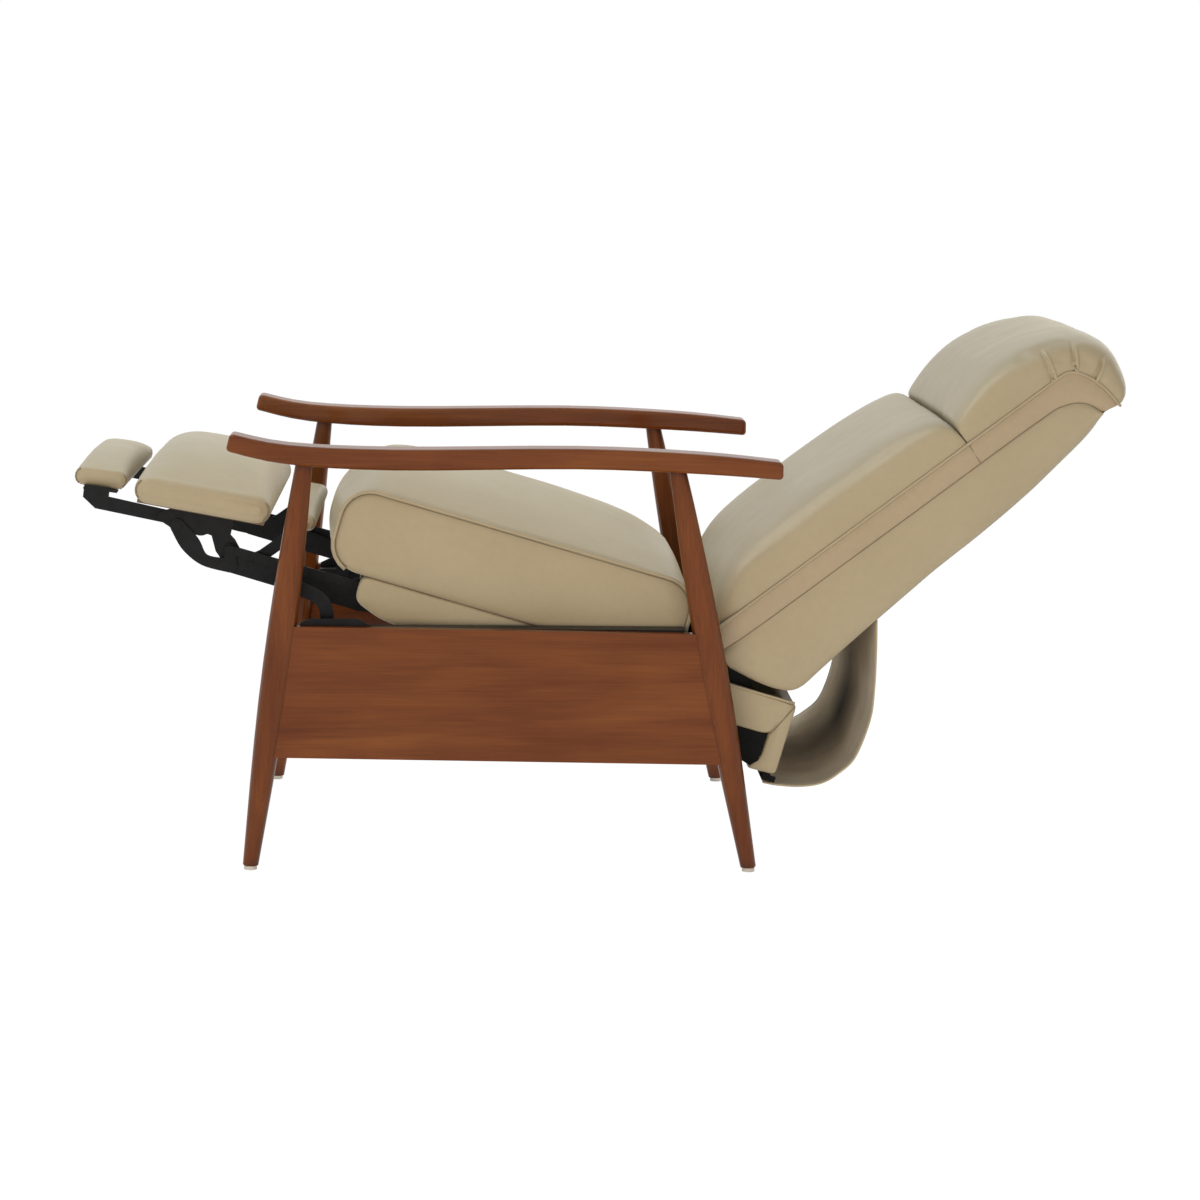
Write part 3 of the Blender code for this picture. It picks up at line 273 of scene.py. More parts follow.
def leather(name, dark, base, light):
    """Smooth protected leather: pebble grain, faint mottling and slightly uneven gloss."""
    look = Look(name, 0.45, 0.56)
    vector = look.coordinates()
    mottle = look.noise(vector, 7.0, 4.0, 0.55)
    fine = look.noise(vector, 90.0, 3.0, 0.6)
    tone = look.ramp(mottle, [(0.30, dark), (0.52, base), (0.74, light)])
    speck = look.spread(fine, 0.94, 1.05)
    look.colour(look.blend(1.0, tone, speck, "MULTIPLY"))
    look.roughness(look.spread(look.noise(vector, 30.0, 4.0), 0.39, 0.51))
    pebble = look.node("TexVoronoi", feature="SMOOTH_F1", Scale=620.0)
    look.link(vector, pebble.inputs["Vector"])
    grain = look.bump(pebble.outputs["Distance"], 0.10, 0.0006)
    look.normal(look.bump(look.noise(vector, 46.0, 3.0), 0.05, 0.0015, grain))
    look.set("Sheen Weight", 0.12)
    look.set("Sheen Roughness", 0.5)
    look.set("Sheen Tint", (0.9, 0.9, 0.86, 1))
    return look.material


def wood(name, along, turn=0.0):
    """Lacquered hardwood: grain and streaks along one axis, cloudy stain, painted shade in corners and
    between parts (partly glaze at the joints), clear coat.
    """
    look = Look(name, 0.36, 0.03)
    stretch = {"x": (2.2, 26.0, 26.0), "z": (26.0, 26.0, 2.2)}[along]
    patch = {"x": (5.0, 14.0, 14.0), "z": (14.0, 14.0, 5.0)}[along]
    fibre = {"x": (9.0, 420.0, 420.0), "z": (420.0, 420.0, 9.0)}[along]
    streak = look.noise(look.coordinates(stretch, (0, turn, 0)), 1.0, 5.0, 0.55, 0.9)
    cloud = look.noise(look.coordinates(patch, (0, turn, 0)), 1.0, 2.0, 0.45, 0.6)
    fine = look.noise(look.coordinates(fibre, (0, turn, 0)), 1.0, 3.0, 0.6)
    tone = look.ramp(streak, [(0.25, (0.118, 0.0275, 0.0040)), (0.50, (0.166, 0.0440, 0.0075)),
                              (0.75, (0.202, 0.0600, 0.0115))])
    stain = look.ramp(cloud, [(0.32, (0.86, 0.82, 0.76)), (0.52, (1.0, 1.0, 1.0)),
                              (0.72, (1.16, 1.26, 1.40))])
    tone = look.blend(1.0, tone, stain, "MULTIPLY")
    # Painted shade: colour darkened where the occlusion node finds nearby surfaces, in corners, under parts
    # and between them; partly glaze gathered at the joints
    corner = look.node("AmbientOcclusion", samples=8, Distance=0.03)
    shade_and_glaze = look.ramp(corner.outputs["AO"], [(0.40, (0.36, 0.31, 0.26)), (0.90, (1.0, 1.0, 1.0))])
    tone = look.blend(1.0, tone, shade_and_glaze, "MULTIPLY")
    pores = look.ramp(fine, [(0.30, (0.80, 0.78, 0.76)), (0.62, (1.04, 1.03, 1.02))])
    look.colour(look.blend(1.0, tone, pores, "MULTIPLY"))
    look.roughness(look.spread(fine, 0.30, 0.42))
    look.normal(look.bump(fine, 0.06, 0.0004))
    look.set("Coat Weight", 0.40)
    look.set("Coat Roughness", 0.12)
    return look.material


def plain(name, dark, light, rough, scale=60.0, bump=0.08, specular=0.5):
    """A nearly even surface with slight mottling, such as paint, plastic or board."""
    look = Look(name, rough, specular)
    vector = look.coordinates()
    spots = look.noise(vector, scale, 4.0, 0.6)
    look.colour(look.ramp(spots, [(0.30, dark), (0.70, light)]))
    look.roughness(look.spread(spots, rough - 0.08, rough + 0.08))
    look.normal(look.bump(look.noise(vector, scale * 12, 2.0), bump, 0.0004))
    return look.material


def flesh(name, dark, light, shade_centre, reach):
    """Raw side of the leather: cloudy, with painted shade that is darkest around one place."""
    look = Look(name, 0.75, 0.06)
    vector = look.coordinates()
    # Painted shade: colour darkened near the given place, where shade falls inside the sling, fading out
    # over the reach
    away = look.node("VectorMath", operation="DISTANCE")
    away.inputs[1].default_value = shade_centre
    look.link(vector, away.inputs[0])
    near = look.node("MapRange")
    near.inputs["From Max"].default_value = reach
    near.inputs["To Min"].default_value = 0.07
    look.link(away.outputs["Value"], near.inputs["Value"])
    cloud = look.ramp(look.noise(vector, 9.0, 3.0, 0.5), [(0.30, dark), (0.70, light)])
    look.colour(look.blend(1.0, cloud, near.outputs["Result"], "MULTIPLY"))
    look.normal(look.bump(look.noise(vector, 160.0, 2.0), 0.15, 0.0004))
    return look.material


LEATHER = leather("beige_leather", (0.386, 0.312, 0.194), (0.400, 0.325, 0.204), (0.414, 0.338, 0.214))
STRIP = leather("beige_leather_strip", (0.390, 0.300, 0.190), (0.404, 0.312, 0.200), (0.416, 0.322, 0.208))
# Dark seam colour: the stitching, darkened to also paint the shade in the seam grooves and beside the piping
SEAM_AND_SHADE = leather("beige_leather_seam", (0.19, 0.145, 0.088), (0.22, 0.170, 0.104), (0.25, 0.196, 0.122))
DUST = plain("black_dust_cloth", (0.006, 0.006, 0.006), (0.012, 0.012, 0.012), 0.8, 240.0, 0.08, 0.1)
WOOD_X = wood("lacquered_wood_along", "x")
WOOD_FRONT = wood("lacquered_wood_front_leg", "z", math.radians(-7.5))
WOOD_REAR = wood("lacquered_wood_rear_leg", "z", math.radians(11.0))
STEEL = plain("black_steel", (0.0070, 0.0070, 0.0074), (0.0135, 0.0132, 0.0136), 0.44, 80.0, 0.08, 0.16)
PLYWOOD = plain("plywood", (0.10, 0.065, 0.036), (0.16, 0.110, 0.064), 0.6, 30.0)
GLIDE = plain("white_plastic", (0.55, 0.52, 0.46), (0.64, 0.61, 0.55), 0.5, 40.0)
# Centre and reach of the painted shade inside the sling
SHADE_PLACE = (SHIFT + 0.536, 0.02, 0.183)
SHADE_REACH = 0.14
FLESH = flesh("leather_flesh_side", (0.54, 0.46, 0.36), (0.84, 0.75, 0.62), SHADE_PLACE, SHADE_REACH)


def finish_of(node):
    if node.startswith("leg_front"):
        return WOOD_FRONT
    if node.startswith("leg_rear"):
        return WOOD_REAR
    if node.startswith(("arm", "side_panel")) or node in ("front_rail", "rear_rail"):
        return WOOD_X
    if node.startswith("glide"):
        return GLIDE
    if node.endswith("_board") or node in ("seat_deck", "seat_front_rail"):
        return PLYWOOD
    if node == "sling":
        return FLESH
    if node.endswith(("_pad", "_cushion", "_pillow", "_shell")):
        return LEATHER
    if node.startswith(("seat_side", "seat_rear")):
        return LEATHER
    return STEEL


for name, node in NODES.items():
    node.data.materials.clear()
    node.data.materials.append(finish_of(name))


# Side-view axes of the pieces, as the CAD has them
SEAT_TILT = math.radians(16.0)
SEAT_CORNER = (-0.208, 0.432)
CUSHION_REAR = 0.484
BACK_LEAN = math.radians(37.2)
BACK_CORNER = (0.326, 0.366)


def seat_point(along, up):
    return (SHIFT + SEAT_CORNER[0] + along * math.cos(SEAT_TILT) + up * math.sin(SEAT_TILT),
            SEAT_CORNER[1] - along * math.sin(SEAT_TILT) + up * math.cos(SEAT_TILT))


def back_point(along, up):
    return (SHIFT + BACK_CORNER[0] + along * math.cos(BACK_LEAN) - up * math.sin(BACK_LEAN),
            BACK_CORNER[1] + along * math.sin(BACK_LEAN) + up * math.cos(BACK_LEAN))


def pad_point(corner, degrees):
    tilt = math.radians(degrees)

    def place(along, up):
        return (SHIFT + corner[0] - along * math.cos(tilt) + up * math.sin(tilt),
                corner[1] + along * math.sin(tilt) + up * math.cos(tilt))

    return place


def cushion_point(along, up):
    return seat_point(CUSHION_REAR - along, up)


def spot(place, along, up, y):
    """Point in space from the side-view axes of a piece."""
    x, z = place(along, up)
    return (x, y, z)


FOOTREST = pad_point((-0.345, 0.5025), 10.1)
FLAP = pad_point((-0.562, 0.5455), 7.0)
FILLER = pad_point((-0.281, 0.485), 10.0)


# Curves
def curve(points, count):
    """Evenly spaced points on a smooth line through the given ones."""
    knots = np.array(points, float)
    padded = np.vstack([2 * knots[0] - knots[1], knots, 2 * knots[-1] - knots[-2]])
    fine = []
    for i in range(len(knots) - 1):
        p0, p1, p2, p3 = padded[i:i + 4]
        t = np.linspace(0, 1, 24, endpoint=False)[:, None]
        fine.append(0.5 * (2 * p1 + (p2 - p0) * t + (2 * p0 - 5 * p1 + 4 * p2 - p3) * t ** 2
                           + (3 * p1 - p0 - 3 * p2 + p3) * t ** 3))
    fine = np.vstack(fine + [knots[-1:]])
    return evenly(fine, count)


def evenly(line, count):
    run = np.concatenate([[0], np.cumsum(np.linalg.norm(np.diff(line, axis=0), axis=1))])
    at = np.linspace(0, run[-1], count)
    return np.stack([np.interp(at, run, line[:, k]) for k in range(line.shape[1])], axis=1)


def rounded_ring(length, edge, radius, pitch):
    """Closed outline of a pad in side view, from the middle of its rear end, the same above and below."""
    corner = min(radius, edge / 2 - 0.0005)
    turns = [((corner, corner), 180), ((length - corner, corner), 270),
             ((length - corner, edge - corner), 0), ((corner, edge - corner), 90)]
    line = [(0.0, edge / 2)]
    for (x, z), start in turns:
        for step in range(13):
            angle = math.radians(start + 90 * step / 12)
            line.append((x + corner * math.cos(angle), z + corner * math.sin(angle)))
    line.append(line[0])
    line = np.array(line)
    count = int(np.linalg.norm(np.diff(line, axis=0), axis=1).sum() / pitch)
    return evenly(line, count + 1)[:-1]


# Meshes
def make(name, points, faces, look, body, nodes=(), levels=1):
    """A named piece on a body, in place of the CAD nodes that it covers."""
    mesh = bpy.data.meshes.new(name)
    mesh.from_pydata([tuple(p) for p in points], [], faces)
    shape = bmesh.new()
    shape.from_mesh(mesh)
    bmesh.ops.remove_doubles(shape, verts=shape.verts, dist=0.00005)
    bmesh.ops.dissolve_degenerate(shape, edges=shape.edges, dist=0.00005)
    bmesh.ops.recalc_face_normals(shape, faces=shape.faces)
    shape.to_mesh(mesh)
    shape.free()
    mesh.materials.append(look)
    mesh.shade_smooth()
    piece = bpy.data.objects.new(name, mesh)
    bpy.context.scene.collection.objects.link(piece)
    if levels:
        finer = piece.modifiers.new("finer", "SUBSURF")
        finer.levels = levels
        finer.render_levels = levels
    if nodes:
        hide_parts(*nodes)
    if body:
        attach(piece, body)
    return piece


def quads(rows, columns, closed=False, start=0):
    faces = []
    for i in range(rows - 1):
        for j in range(columns if closed else columns - 1):
            k = (j + 1) % columns
            faces.append((start + i * columns + j, start + i * columns + k,
                          start + (i + 1) * columns + k, start + (i + 1) * columns + j))
    return faces


CORD_SIDES = 8


def cord(name, lines, radius, look, body):
    """Round piping along lines in space, as one piece."""
    points = []
    faces = []
    for line in lines:
        line = np.array(line, float)
        ahead = np.roll(line, -1, axis=0) - np.roll(line, 1, axis=0)
        ahead[0] = line[1] - line[0]
        ahead[-1] = line[-1] - line[-2]
        ahead /= np.linalg.norm(ahead, axis=1)[:, None]
        first = np.cross(ahead, (0, 1, 0))
        weak = np.linalg.norm(first, axis=1) < 0.3
        first[weak] = np.cross(ahead[weak], (0.6, 0, 0.8))
        first /= np.linalg.norm(first, axis=1)[:, None]
        second = np.cross(ahead, first)
        start = len(points)
        for k in range(len(line)):
            for s in range(CORD_SIDES):
                turn = 2 * math.pi * s / CORD_SIDES
                points.append(line[k] + radius * (math.cos(turn) * first[k] + math.sin(turn) * second[k]))
        faces += quads(len(line), CORD_SIDES, True, start)
        last = start + (len(line) - 1) * CORD_SIDES
        faces.append(tuple(start + s for s in range(CORD_SIDES)))
        faces.append(tuple(last + s for s in reversed(range(CORD_SIDES))))
    return make(name, points, faces, look, body, levels=0)


def ripple(piece, size, pitch, held=()):
    """Slight unevenness of a stuffed cover."""
    kept = set(held)
    for vertex in piece.data.vertices:
        if vertex.index not in kept:
            wave = noise.noise(vertex.co * (1 / pitch)) + 0.4 * noise.noise(vertex.co * (2.7 / pitch))
            vertex.co += vertex.normal * (size * wave)


# Pressure simulation
FRAMES = 20
PRESSURE = 4
EVEN_ROUNDS = 12


def even_out(mesh, moved):
    """Movement of each vertex averaged with its neighbours', which takes out creases."""
    ends = np.array([e.vertices[:] for e in mesh.edges])
    share = np.bincount(ends.ravel(), minlength=len(moved))[:, None] + 1.0
    for _ in range(EVEN_ROUNDS):
        total = moved.copy()
        np.add.at(total, ends[:, 0], moved[ends[:, 1]])
        np.add.at(total, ends[:, 1], moved[ends[:, 0]])
        moved = total / share
    return moved


def inflate(piece, held, most):
    """Short pressure simulation with the seams held, so that the cover sits as a filled one does."""
    scene = bpy.context.scene
    group = piece.vertex_groups.new(name="held")
    group.add(list(held), 1.0, "REPLACE")
    cloth = piece.modifiers.new("cloth", "CLOTH")
    settings = cloth.settings
    settings.quality = 4
    settings.vertex_group_mass = "held"
    settings.use_pressure = True
    settings.uniform_pressure_force = PRESSURE
    settings.effector_weights.gravity = 0
    cloth.point_cache.frame_start = 1
    cloth.point_cache.frame_end = FRAMES
    finer = piece.modifiers["finer"]
    finer.show_viewport = False
    before = np.array([v.co for v in piece.data.vertices])
    for number in range(1, FRAMES + 1):
        scene.frame_set(number)
    shown = piece.evaluated_get(bpy.context.evaluated_depsgraph_get())
    moved = np.array([v.co for v in shown.data.vertices]) - before
    piece.modifiers.remove(cloth)
    finer.show_viewport = True
    piece.vertex_groups.remove(group)
    reach = np.linalg.norm(moved, axis=1)
    moved *= np.minimum(1, most / np.maximum(reach, 1e-9))[:, None]
    after = before + even_out(piece.data, moved)
    piece.data.vertices.foreach_set("co", after.astype(np.float32).ravel())
    piece.data.update()
    scene.frame_set(1)


def near_lines(piece, lines, reach):
    """Vertices close to seam lines, which a simulation or a ripple leaves in place."""
    tree = kdtree.KDTree(sum(len(line) for line in lines))
    count = 0
    for line in lines:
        for point in line:
            tree.insert(point, count)
            count += 1
    tree.balance()
    return [v.index for v in piece.data.vertices if tree.find(v.co)[2] < reach]


def inward_of(ring, middle):
    """Unit steps from an outline toward its middle line."""
    step = middle - ring
    return step / np.maximum(np.linalg.norm(step, axis=1), 1e-6)[:, None]


# Box-edged pads: a band over the top and the ends, and a panel on each side
PadShape = namedtuple("PadShape", "length edge crown bulge radius full_rear full_front half rim puff pitch")
PANEL_STEPS = 7
BEND_STEPS = 4
BAND_STRETCH = 1.3
BAND_POWER = 2.4
PAD_CAP = 0.006
PAD_UNDERSIDE = 0.004
PAD_REAR = 0.015
PAD_SEAM = 0.0012
CORNER_INSET = 0.29
WELT_FRONT = 0.030
WELT_TURN = 0.8
# Radius of the dark stitch lines beside the piping, which also paint the piping's shadow
STITCH_SHADOW = 0.0006


def pad_ring(shape):
    """Outline of a pad in side view, its middle line, and each point's place from rear (-1) to front (1)."""
    ring = rounded_ring(shape.length, shape.edge, shape.radius, shape.pitch)
    deep = shape.edge / 2
    middle = np.stack([np.clip(ring[:, 0], deep, shape.length - deep), np.full(len(ring), deep)], axis=1)
    lean = (ring[:, 0] - shape.length / 2) / (shape.length / 2)
    return ring, middle, lean


def pad_stations(shape):
    """Sections of a pad across the chair, each with its place."""
    ring, middle, lean = pad_ring(shape)
    inward = inward_of(ring, middle)
    half, rim = shape.half, shape.rim
    rise = np.clip(ring[:, 1] / shape.edge, 0, 1)
    full = np.where(lean > 0, shape.full_front, shape.full_rear)
    lift = shape.crown * np.maximum(0, 1 - np.abs(lean) ** full) * rise
    push = shape.bulge * np.sin(math.pi * rise) * np.maximum(lean, 0)
    inner = ring + inward * rim
    panel = []
    for k in range(PANEL_STEPS):
        t = k / PANEL_STEPS
        panel.append((inner + (middle - inner) * (1 - t), half + shape.puff * (1 - t ** 2) ** 0.7))
    bend = BEND_STEPS if rim > 0 else 1
    for k in range(bend):
        turn = math.pi / 2 * k / bend
        panel.append((ring + inward * rim * (1 - math.sin(turn)), half - rim * (1 - math.cos(turn))))
    stations = [(flat, -y) for flat, y in panel]
    count = int(2 * (half - rim) / (shape.pitch * BAND_STRETCH))
    for k in range(count + 1):
        y = -(half - rim) + 2 * (half - rim) * k / count
        share = 1 - abs(y / (half - rim)) ** BAND_POWER
        stations.append((ring + np.stack([push, lift], axis=1) * share, y))
    return stations + list(reversed(panel))


def pad_welts(stem, place, shape, welt, body):
    """Piping along the side seams, from under the front end over the top, with a dark stitch line beside it
    that also paints the piping's shadow.
    """
    ring, middle, _ = pad_ring(shape)
    inside = ring + inward_of(ring, middle) * 1.25 * welt
    start = int(np.argmax(ring[:, 0] > shape.length - WELT_FRONT))
    count = len(ring) - start + int(WELT_TURN * shape.edge / shape.pitch)
    # The dark stitch line just inside the piping also paints the shadow along it
    kinds = (("_welt", ring, 0.0, welt, LEATHER), ("_seam", inside, 0.35 * welt, STITCH_SHADOW, SEAM_AND_SHADE))
    for ending, outline, out, radius, look in kinds:
        lines = []
        for side in (-1, 1):
            line = np.array([spot(place, a, u, side * (shape.half + out)) for a, u in outline])
            lines.append(np.roll(line, -start, axis=0)[:count])
        cord(stem + ending, lines, radius, look, body)


def pad_seams(stem, place, shape, body):
    """Stitch lines round the corners of both ends, on each side."""
    ring, middle, lean = pad_ring(shape)
    edge_line = ring + inward_of(ring, middle) * shape.rim * CORNER_INSET
    y = shape.half - CORNER_INSET * shape.rim + 0.0004
    limit = 0.5 * shape.length / (shape.length + shape.edge)
    lines = []
    for side in (-1, 1):
        for end in (lean < -limit, lean > limit):
            kept = end & (np.abs(lean) > 1 - 1.2 * shape.radius / shape.length)
            order = np.argsort(ring[kept, 1])
            lines.append([spot(place, a, u, side * y) for a, u in edge_line[kept][order]])
    cord(stem + "_seams", lines, PAD_SEAM, SEAM_AND_SHADE, body)


def pad_cover(stem, place, shape, body, welt=0.0):
    stations = pad_stations(shape)
    points = [spot(place, a, u, y) for flat, y in stations for a, u in flat]
    ring = pad_ring(shape)[0]
    piece = make(stem + "_cover", points, quads(len(stations), len(ring), True), LEATHER, body, [stem])
    seams = [[spot(place, a, u, side * shape.half) for a, u in ring] for side in (-1, 1)]
    held = near_lines(piece, seams, 0.004 + shape.rim * 0.3)
    reaches = [measured(v.co, place) for v in piece.data.vertices]
    held += [k for k, (along, up) in enumerate(reaches) if up < PAD_UNDERSIDE or along < PAD_REAR]
    inflate(piece, set(held), PAD_CAP)
    ripple(piece, 0.0014, 0.11, held)
    if welt:
        pad_welts(stem, place, shape, welt, body)
    else:
        pad_seams(stem, place, shape, body)


def measured(point, place):
    """A point's distance from the rear end of a pad and its height over the pad's underside."""
    x0, z0 = place(0, 0)
    x1, z1 = place(1, 0)
    x2, z2 = place(0, 1)
    return ((point.x - x0) * (x1 - x0) + (point.z - z0) * (z1 - z0),
            (point.x - x0) * (x2 - x0) + (point.z - z0) * (z2 - z0))


# Domed pads of the back: sections across the chair, from the seam line up to the crest
BACK_HALF = 0.281
WELT = -0.004
DOME_EDGE = 0.24
DOME_STEPS = 26
DOME_UNDER = 0.996
BACK_CAP = 0.004
BACK_SEAM_HOLD = 0.006


def dome_cover(name, base, crest, halves, powers, node):
    turn = np.linspace(0, math.pi / 2, 400)
    edge = np.linspace(0, DOME_EDGE, DOME_STEPS)[:-1]
    spaced = np.concatenate([edge, np.linspace(DOME_EDGE, 1, DOME_STEPS)])
    columns = 2 * len(spaced) - 1
    points = []
    for b, c, half, power in zip(base, crest, halves, powers):
        section = np.stack([half * np.cos(turn) ** (2 / power), np.sin(turn) ** (2 / power)], axis=1)
        run = np.linalg.norm(np.diff(section * (1, np.linalg.norm(c - b)), axis=0), axis=1).cumsum()
        at = spaced * run[-1]
        side, height = (np.interp(at, np.append(0, run), section[:, k]) for k in (0, 1))
        side = np.append(side, -side[-2::-1])
        height = np.append(height, height[-2::-1])
        for k in range(columns):
            points.append(spot(back_point, *(b + (c - b) * height[k]), side[k]))
        for k in reversed(range(columns)):
            points.append(spot(back_point, *b, side[k] * DOME_UNDER))
    ring = 2 * columns
    faces = quads(len(base), ring, True)
    for start in (0, (len(base) - 1) * ring):
        for k in range(columns - 1):
            faces.append((start + k, start + k + 1, start + ring - 2 - k, start + ring - 1 - k))
    return make(name, points, faces, LEATHER, "back", [node])


def seam_of(base, half, lift=0.0):
    """A line along both sides of the back."""
    return [[spot(back_point, a, u + lift, side * half) for a, u in base] for side in (-1, 1)]


def back_height(point):
    """Height of a point above the side welt of the back, square to it."""
    x, z = back_point(0, WELT)
    return (point.z - z) * math.cos(BACK_LEAN) - (point.x - x) * math.sin(BACK_LEAN)


def back_reach(point):
    """Place of a point along the back, from its lower end."""
    x, z = back_point(0, 0)
    return (point.x - x) * math.cos(BACK_LEAN) + (point.z - z) * math.sin(BACK_LEAN)


def soften(corners, radius, pitch):
    """Closed outline with its corners rounded off, evenly spaced."""
    line = []
    count = len(corners)
    for i in range(count):
        here = np.array(corners[i], float)
        back = np.array(corners[i - 1], float) - here
        ahead = np.array(corners[(i + 1) % count], float) - here
        cut = min(radius, 0.48 * np.linalg.norm(back), 0.48 * np.linalg.norm(ahead))
        start = here + back / np.linalg.norm(back) * cut
        end = here + ahead / np.linalg.norm(ahead) * cut
        for step in range(7):
            t = step / 6
            line.append((1 - t) ** 2 * start + 2 * t * (1 - t) * here + t ** 2 * end)
    line.append(line[0])
    line = np.array(line)
    total = np.linalg.norm(np.diff(line, axis=0), axis=1).sum()
    return evenly(line, int(total / pitch) + 1)[:-1]


# Seat cushion and the covered rails of its box
SEAT_PAD = PadShape(length=0.539, edge=0.1255, crown=0.048, bulge=0.020, radius=0.045, full_rear=3.2,
                    full_front=8, half=0.283, rim=0.0, puff=0.007, pitch=0.012)
SEAT_WELT = 0.0032
BOX_SIDE = [(0.0, -0.0005), (0.0, -0.040), (0.040, -0.0555), (0.080, -0.060), (0.651, -0.060),
            (0.677, -0.006), (0.484, -0.0005)]
BOX_REAR = [(0.652, -0.005), (0.679, -0.005), (0.679, -0.117), (0.632, -0.118), (0.637, -0.110),
            (0.649, -0.097)]
BOX_HALF = 0.2755
BOX_INNER = 0.250
BOX_PUFF = 0.0025
REAR_HALF = 0.2745
REAR_PUFF = 0.002
REAR_SEAM = [(0.676, -0.007), (0.664, -0.033), (0.652, -0.058)]
MID_SEAM = [(0.262, -0.003), (0.262, -0.030), (0.262, -0.058)]
RAIL_STEPS = 6
RAIL_BEND = 3
RAIL_PITCH = 0.03


def rail_cover(name, ring, middle, low, high, rim, puffs, node):
    """Tight cover of a seat rail: a loft along Y with rounded, slightly puffed ends."""
    inward = inward_of(ring, middle)
    inner = ring + inward * rim
    ends = []
    for puff in puffs:
        end = []
        for k in range(RAIL_STEPS):
            t = k / RAIL_STEPS
            end.append((inner + (middle - inner) * (1 - t), puff * (1 - t ** 2)))
        for k in range(RAIL_BEND + 1):
            turn = math.pi / 2 * k / RAIL_BEND
            end.append((ring + inward * rim * (1 - math.sin(turn)), -rim * (1 - math.cos(turn))))
        ends.append(end)
    stations = [(flat, low - out) for flat, out in ends[0]]
    count = max(2, int((high - low) / RAIL_PITCH))
    for k in range(1, count):
        stations.append((ring, low + rim + (high - low - 2 * rim) * k / count))
    stations += [(flat, high + out) for flat, out in reversed(ends[1])]
    points = [spot(seat_point, a, u, y) for flat, y in stations for a, u in flat]
    faces = quads(len(stations), len(ring), True)
    piece = make(name, points, faces, LEATHER, "seat", [node])
    ripple(piece, 0.0006, 0.07)


def seat_box():
    ring = soften(BOX_SIDE, 0.010, 0.010)
    middle = np.stack([np.clip(ring[:, 0], 0.03, 0.63), np.full(len(ring), -0.031)], axis=1)
    rail_cover("seat_side_cover_left", ring, middle, -BOX_HALF, -BOX_INNER, 0.004, (BOX_PUFF, 0.0),
               "seat_side_left")
    rail_cover("seat_side_cover_right", ring, middle, BOX_INNER, BOX_HALF, 0.004, (0.0, BOX_PUFF),
               "seat_side_right")
    ring = soften(BOX_REAR, 0.007, 0.006)
    middle = np.stack([np.full(len(ring), 0.664), np.clip(ring[:, 1], -0.100, -0.020)], axis=1)
    rail_cover("seat_rear_cover", ring, middle, -REAR_HALF, REAR_HALF, 0.006, (REAR_PUFF, REAR_PUFF),
               "seat_rear_rail")
    seams = []
    welts = []
    for side in (-1, 1):
        for line, y in ((REAR_SEAM, BOX_HALF + 0.0015), (MID_SEAM, BOX_HALF + 0.0020)):
            seams.append([spot(seat_point, a, u, side * y) for a, u in curve(line, 9)])
        edge = np.linspace(0.49, 0.674, 9)
        welts.append([spot(seat_point, a, -0.0035, side * (BOX_HALF - 0.0010)) for a in edge])
    cord("seat_box_seams", seams, 0.0009, SEAM_AND_SHADE, "seat")
    cord("seat_box_welts", welts, 0.0020, LEATHER, "seat")


# Black cloth under the rear of the seat box, and its strip under the rear rail
DUST_HALF = 0.2735
DUST_FRONT = (0.440, -0.0615)
DUST_REAR = (0.647, -0.1150)
DUST_TOP = -0.0605
DUST_ROWS = 9
STRIP_ROWS = (0.660, 0.670, 0.680)
STRIP_LEVELS = (-0.1185, -0.1235, -0.1280)


def dust_row(along, top, bend, low):
    """One line of the cloth across the chair, with its two turned-up edges."""
    edge = [(along, top, DUST_HALF), (along, bend, DUST_HALF + 0.0005), (along, low, DUST_HALF)]
    row = [(a, u, -y) for a, u, y in edge]
    row += [(along, low, y) for y in np.linspace(-0.25, 0.25, 9)]
    return row + edge[::-1]


def dust_cover():
    rows = []
    for t in np.linspace(0, 1, DUST_ROWS):
        a, u = (near + (far - near) * t for near, far in zip(DUST_FRONT, DUST_REAR))
        rows.append(dust_row(a, DUST_TOP, (u + DUST_TOP) / 2, u))
    for a in STRIP_ROWS:
        rows.append(dust_row(a, *STRIP_LEVELS))
    points = [spot(seat_point, a, u, y) for row in rows for a, u, y in row]
    columns = len(rows[0])
    faces = quads(DUST_ROWS, columns) + quads(len(STRIP_ROWS), columns, start=DUST_ROWS * columns)
    piece = make("seat_dust_cover", points, faces, DUST, "seat", levels=0)


pad_cover("seat_cushion", cushion_point, SEAT_PAD, "seat", SEAT_WELT)
seat_box()
dust_cover()

# Back: domed cushion and head pillow, boxing strip and covered shell
CUSHION_LOW = -0.012
CUSHION_HIGH = 0.4495
CUSHION_ROWS = 46
CUSHION_CREST = [(-0.015, 0.006), (-0.007, 0.022), (0.013, 0.037), (0.040, 0.0512), (0.074, 0.0626),
                 (0.142, 0.0662), (0.260, 0.0678), (0.371, 0.0640), (0.405, 0.0612), (0.432, 0.0545),
                 (0.444, 0.0440), (0.4493, 0.0300)]
PILLOW_LOW = 0.4505
END_PLACE = (0.622, -0.090)
END_REACH = (0.042, 0.086)
FRONT_SHARE = 0.56

# Share of the way round the pillow, and its crest there
PILLOW_CREST = [(0, 0.4507, 0.026), (0.02, 0.4550, 0.0350), (0.07, 0.4735, 0.0440),
                (0.18, 0.5050, 0.0535), (0.33, 0.5425, 0.0600), (0.50, 0.5875, 0.0572),
                (0.62, 0.6275, 0.0485), (0.72, 0.6640, 0.0345), (0.81, 0.6965, 0.0165),
                (0.89, 0.7142, -0.0180), (0.95, 0.7090, -0.0580), (0.985, 0.694, -0.085),
                (1.0, 0.674, -0.092)]

